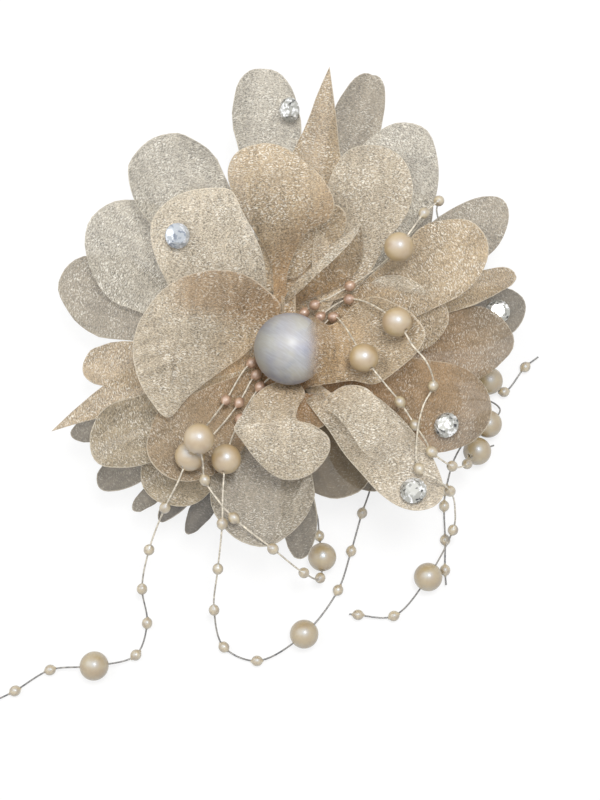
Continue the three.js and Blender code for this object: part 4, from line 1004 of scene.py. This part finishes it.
def leaf(cloth, name, number):
    layer, tone, foot, outline, inside = LEAVES[name]
    height = plate(outline + inside)
    border = closed_curve(outline)
    middle = sum(border, Vector()) / len(border)
    reach = sum((edge - middle).length for edge in border) / len(border)
    rings = [[middle]]
    for share in LEAF_RINGS + (1 - RIM_WIDTH / reach, 1.0):
        rings.append([middle + (edge - middle) * share for edge in border])
    glow_radii = GLOW_RADII.get(name, LEAF_GLOW_RADII)
    placed = []
    for ring in rings:
        row = []
        for at in ring:
            wave = LEAF_WAVE * noise.noise(Vector((at.x * LEAF_WAVES, at.y * LEAF_WAVES, 5.1 * number)))
            z = LEAF_FLOOR + height(at.x, at.y) + wave
            if name == "left":
                z += pleats(at.x, at.y)
            if name == "veil":
                z = over_pearl(at.x, at.y, z)
            veil = THINNING[name](at.x, at.y) if name in THINNING else 0.0
            # Painted shade on the folds of some leaves, and the painted warm glow near the middle
            dusk = SHADING[name](at.x, at.y) if name in SHADING else 0.0
            shade = with_painted_glow(toned(tone, TAN, dusk), at.xy.length, *glow_radii)
            row.append((Vector((at.x, at.y, z)), shade, veil))
        placed.append(row)
    cloth.add_fan(placed)
    if foot:
        stem(cloth, layer - 1, tone, Vector((*foot, LEAF_FLOOR + height(*foot))))


def stem(cloth, layer, tone, head):
    """The strip that carries a leaf from its layer's hub."""
    outward = Vector((head.x, head.y, 0)).normalized()
    aside = Vector((-outward.y, outward.x, 0)) * STEM_WIDTH / 2
    level = layer_height(layer, 0, 0)
    flat_part = ((HUB_RADIUS - STEM_OVERLAP, 0), (HUB_RADIUS + SEAT_GAP, 0))
    rows = []
    for reach, rise in flat_part + ((head.xy.length, head.z - level),):
        middle = outward * reach + Vector((0, 0, level + rise))
        rows.append([(middle + aside * share, share * STEM_WIDTH / 2, reach) for share in STEM_COLUMNS])
    cloth.add_grid(rows, tone, math.degrees(math.atan2(outward.y, outward.x)), (True, False))


def build_petals():
    for layer, lobes in enumerate(PETALS):
        cloth = Cloth()
        hub(cloth, layer, TAN)
        for number, spec in enumerate(lobes):
            lobe(cloth, layer, spec, number)
        for number, name in enumerate(LEAVES):
            if LEAVES[name][0] == layer + 1:
                leaf(cloth, name, number)
        cloth.object(f"organza_layer_{layer + 1}", f"petal_layer_{layer + 1}")


build_petals()


# Centre pearl

def build_centre_pearl():
    radius = (CENTRE_HIGH.z - CENTRE_LOW.z) / 2
    rows = 48
    angles = [math.pi * i / rows for i in range(rows + 1)]
    profile = [(max(0.01, radius * math.sin(angle)), -radius * math.cos(angle)) for angle in angles]
    form = turned(profile, 64, CENTRE, (0, 0, 1))
    dress("centre_pearl_ball", form, LILAC_PEARL, "centre_pearl")


build_centre_pearl()


# Stones

STONE_SIDES = 8
# Rings of a stone's corners: radius, height, corners for each side, and turn as a share of a step
STONE_RINGS = {
    "back": (3.0, 0, 2, 0), "girdle": (3.5, 0.7, 2, 0), "crown": (3.5, 0.95, 2, 0),
    "star": (2.75, 1.95, 1, 0), "table": (1.9, 2.6, 1, 0.5),
}
COLD_STONE = 2


def stone_seat(node):
    """Centre of a stone's back and the direction it faces, from its solid."""
    points = np.array([v.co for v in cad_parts[node].data.vertices], float) / MM
    middle = points.mean(axis=0)
    axes = np.linalg.eigh(np.cov((points - middle).T))[1]
    normal = Vector(axes[:, 0])
    if normal.z < 0:
        normal = -normal
    heights = (points - middle) @ np.array(normal)
    return Vector(middle) + normal * float(heights.min()), normal, Vector(axes[:, 2])


def build_stone(number):
    """A foil-backed stone: table, star, main and girdle facets."""
    place, normal, side = stone_seat(f"rhinestone_{number}")
    side = (side - normal * side.dot(normal)).normalized()
    other = normal.cross(side)
    n = STONE_SIDES
    points, starts = [], []
    for radius, height, share, shift in STONE_RINGS.values():
        starts.append(len(points))
        for i in range(share * n):
            angle = 2 * math.pi * (i + shift) / (share * n)
            outward = math.cos(angle) * side + math.sin(angle) * other
            points.append(place + normal * height + radius * outward)
    b, g, c, s, t = starts
    faces = [tuple(reversed(range(b, b + 2 * n))), tuple(range(t, t + n))]
    for i in range(2 * n):
        j = (i + 1) % (2 * n)
        faces += [(b + i, b + j, g + j, g + i), (g + i, g + j, c + j, c + i)]
    for i in range(n):
        j, before, odd = (i + 1) % n, (i - 1) % n, c + 2 * i + 1
        faces += [
            (s + i, t + i, t + before), (s + i, s + j, t + i), (odd - 1, odd, s + i),
            (odd, c + 2 * j, s + j), (odd, s + j, s + i),
        ]
    node = f"rhinestone_{number}"
    stone = dress(f"stone_{number}", (points, faces), CLEAR_STONE, node, smooth=False)
    facet = [0.5 + 0.5 * math.sin(12.9898 * (i + 7 * number) + 4.1) for i in range(len(faces))]
    cold = [1.0 if number == COLD_STONE else 0.0] * len(faces)
    for label, values in (("facet", facet), ("cold", cold)):
        stone.data.attributes.new(label, "FLOAT", "FACE").data.foreach_set("value", values)


for stone_number in range(1, 6):
    build_stone(stone_number)


# Backing, stitching and clip

FELT_FUZZ = 0.12
FELT_TUFTS = 0.9


def build_felt():
    bottom, top = corners("felt_backing")
    radius = top.x
    soft = 0.45
    steps = 11
    reaches = [HOLE_RADIUS + (radius - soft - HOLE_RADIUS) * step / steps for step in range(steps + 1)]
    half = [(reach, 0) for reach in reaches] + [(radius - 0.12, 0.2), (radius, 0.7)]
    profile = [(reach, bottom.z + inset) for reach, inset in half]
    profile += [(reach, top.z - inset) for reach, inset in reversed(half)]
    points, faces = turned(profile, 96, (0, 0, 0), (0, 0, 1), ring=True)
    fuzzy = []
    for point in points:
        fuzz = FELT_FUZZ * noise.noise(point * FELT_TUFTS)
        outward = Vector((point.x, point.y, 0)).normalized()
        fuzzy.append(point - outward * abs(fuzz) * (1 if point.xy.length > radius - 1 else 0))
    felt = dress("felt_disc", (fuzzy, faces), FELT, "felt_backing")


def build_stitching():
    bottom, top = corners("stitch_core")
    radius = 2.2
    ply = 0.3
    knot_radius = top.x
    knot_height = 0.8
    knot_low = top.z - knot_height
    lap_steps = 20
    turns = (knot_low - bottom.z - 2 * ply) / (2 * ply)
    path = []
    for i in range(int(turns * lap_steps) + 1):
        angle = 2 * math.pi * i / lap_steps
        path.append(around(radius - ply, angle, bottom.z + ply + 2 * ply * i / lap_steps))
    lap_steps = 24
    laps = (knot_radius - ply) / (2 * ply)
    spiral = []
    for i in range(int(laps * lap_steps) + 1):
        reach = min(ply + 2 * ply * i / lap_steps, knot_radius - ply)
        spiral.append(around(reach, 2 * math.pi * i / lap_steps, knot_low + knot_height / 2))
    winding = solids("thread_winding", [(tube(path, ply), 0), (tube(spiral, ply), 0)], [THREAD])
    add_object("thread_winding", winding, None, "stitch_core")


def build_spring():
    pin_low, pin_high = corners("hinge_pin")
    axis_x = (pin_low.x + pin_high.x) / 2
    axis_z = (pin_low.z + pin_high.z) / 2
    wire = 0.6
    coil = 1.6
    pitch = 1.1
    turns = 4.5
    leg = 8.1
    coil_steps = 24
    spring_low, spring_high = corners("jaw_spring")
    start_y = -turns * pitch / 2
    path = [Vector((axis_x + leg, start_y, spring_high.z - wire / 2))]
    steps = int(turns * coil_steps)
    for i in range(steps + 1):
        angle = math.pi / 2 + 2 * math.pi * turns * i / steps
        y = start_y + turns * pitch * i / steps
        path.append(Vector((axis_x + coil * math.cos(angle), y, axis_z + coil * math.sin(angle))))
    path.append(Vector((axis_x + leg, -start_y, spring_low.z + wire / 2)))
    spring = dress("spring_wire", tube(path, wire / 2, 10), STEEL, "jaw_spring", body=None)
    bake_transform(spring)


build_felt()
build_stitching()
build_spring()
for steel_node in ("upper_jaw", "lower_jaw", "hinge_pin"):
    steel_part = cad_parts[steel_node]
    steel_part.data.materials.clear()
    steel_part.data.materials.append(STEEL)


# Floor, world and light

FLOOR_SIZE = 4.0
FLOOR_COLOUR = (0.93, 0.93, 0.93, 1)
# The share of plain white in what is seen of the floor. The rest shows the shadows
FLOOR_WHITE = 0.75
WORLD_STRENGTH = 0.55
# Each lamp: name, place, size in metres and power in watts
LAMPS = (("key", (90, 90, 640), 0.2, 2.6), ("fill", (-380, 120, 520), 0.5, 1.3))


def build_stage():
    floor_z = cad_box[0][2]
    half = FLOOR_SIZE / 2
    mesh = bpy.data.meshes.new("floor")
    square = [(-half, -half, floor_z), (half, -half, floor_z), (half, half, floor_z), (-half, half, floor_z)]
    mesh.from_pydata(square, [], [(0, 1, 2, 3)])
    floor = add_object("floor", mesh, body=None)
    table = Paint("table", Base_Color=FLOOR_COLOUR, Roughness=0.9)
    table.show_white(table.shader, FLOOR_WHITE, "Emission", "Material Output")
    mesh.materials.append(table.material)


def build_light():
    world = bpy.data.worlds.new("studio")
    bpy.context.scene.world = world
    world.use_nodes = True
    nodes = Nodes(world.node_tree)
    background = world.node_tree.nodes["Background"]
    background.inputs["Color"].default_value = WHITE
    background.inputs["Strength"].default_value = WORLD_STRENGTH
    nodes.show_white(background, 1.0, "Background", "World Output")
    for name, place, size, power in LAMPS:
        data = bpy.data.lights.new(name, "AREA")
        data.size = size
        data.energy = power
        lamp = add_object(name, data, body=None)
        lamp.location = metres(place)
        lamp.rotation_euler = (-Vector(place)).to_track_quat("-Z", "Y").to_euler()


build_stage()
build_light()
bpy.context.scene.view_settings.view_transform = "Standard"
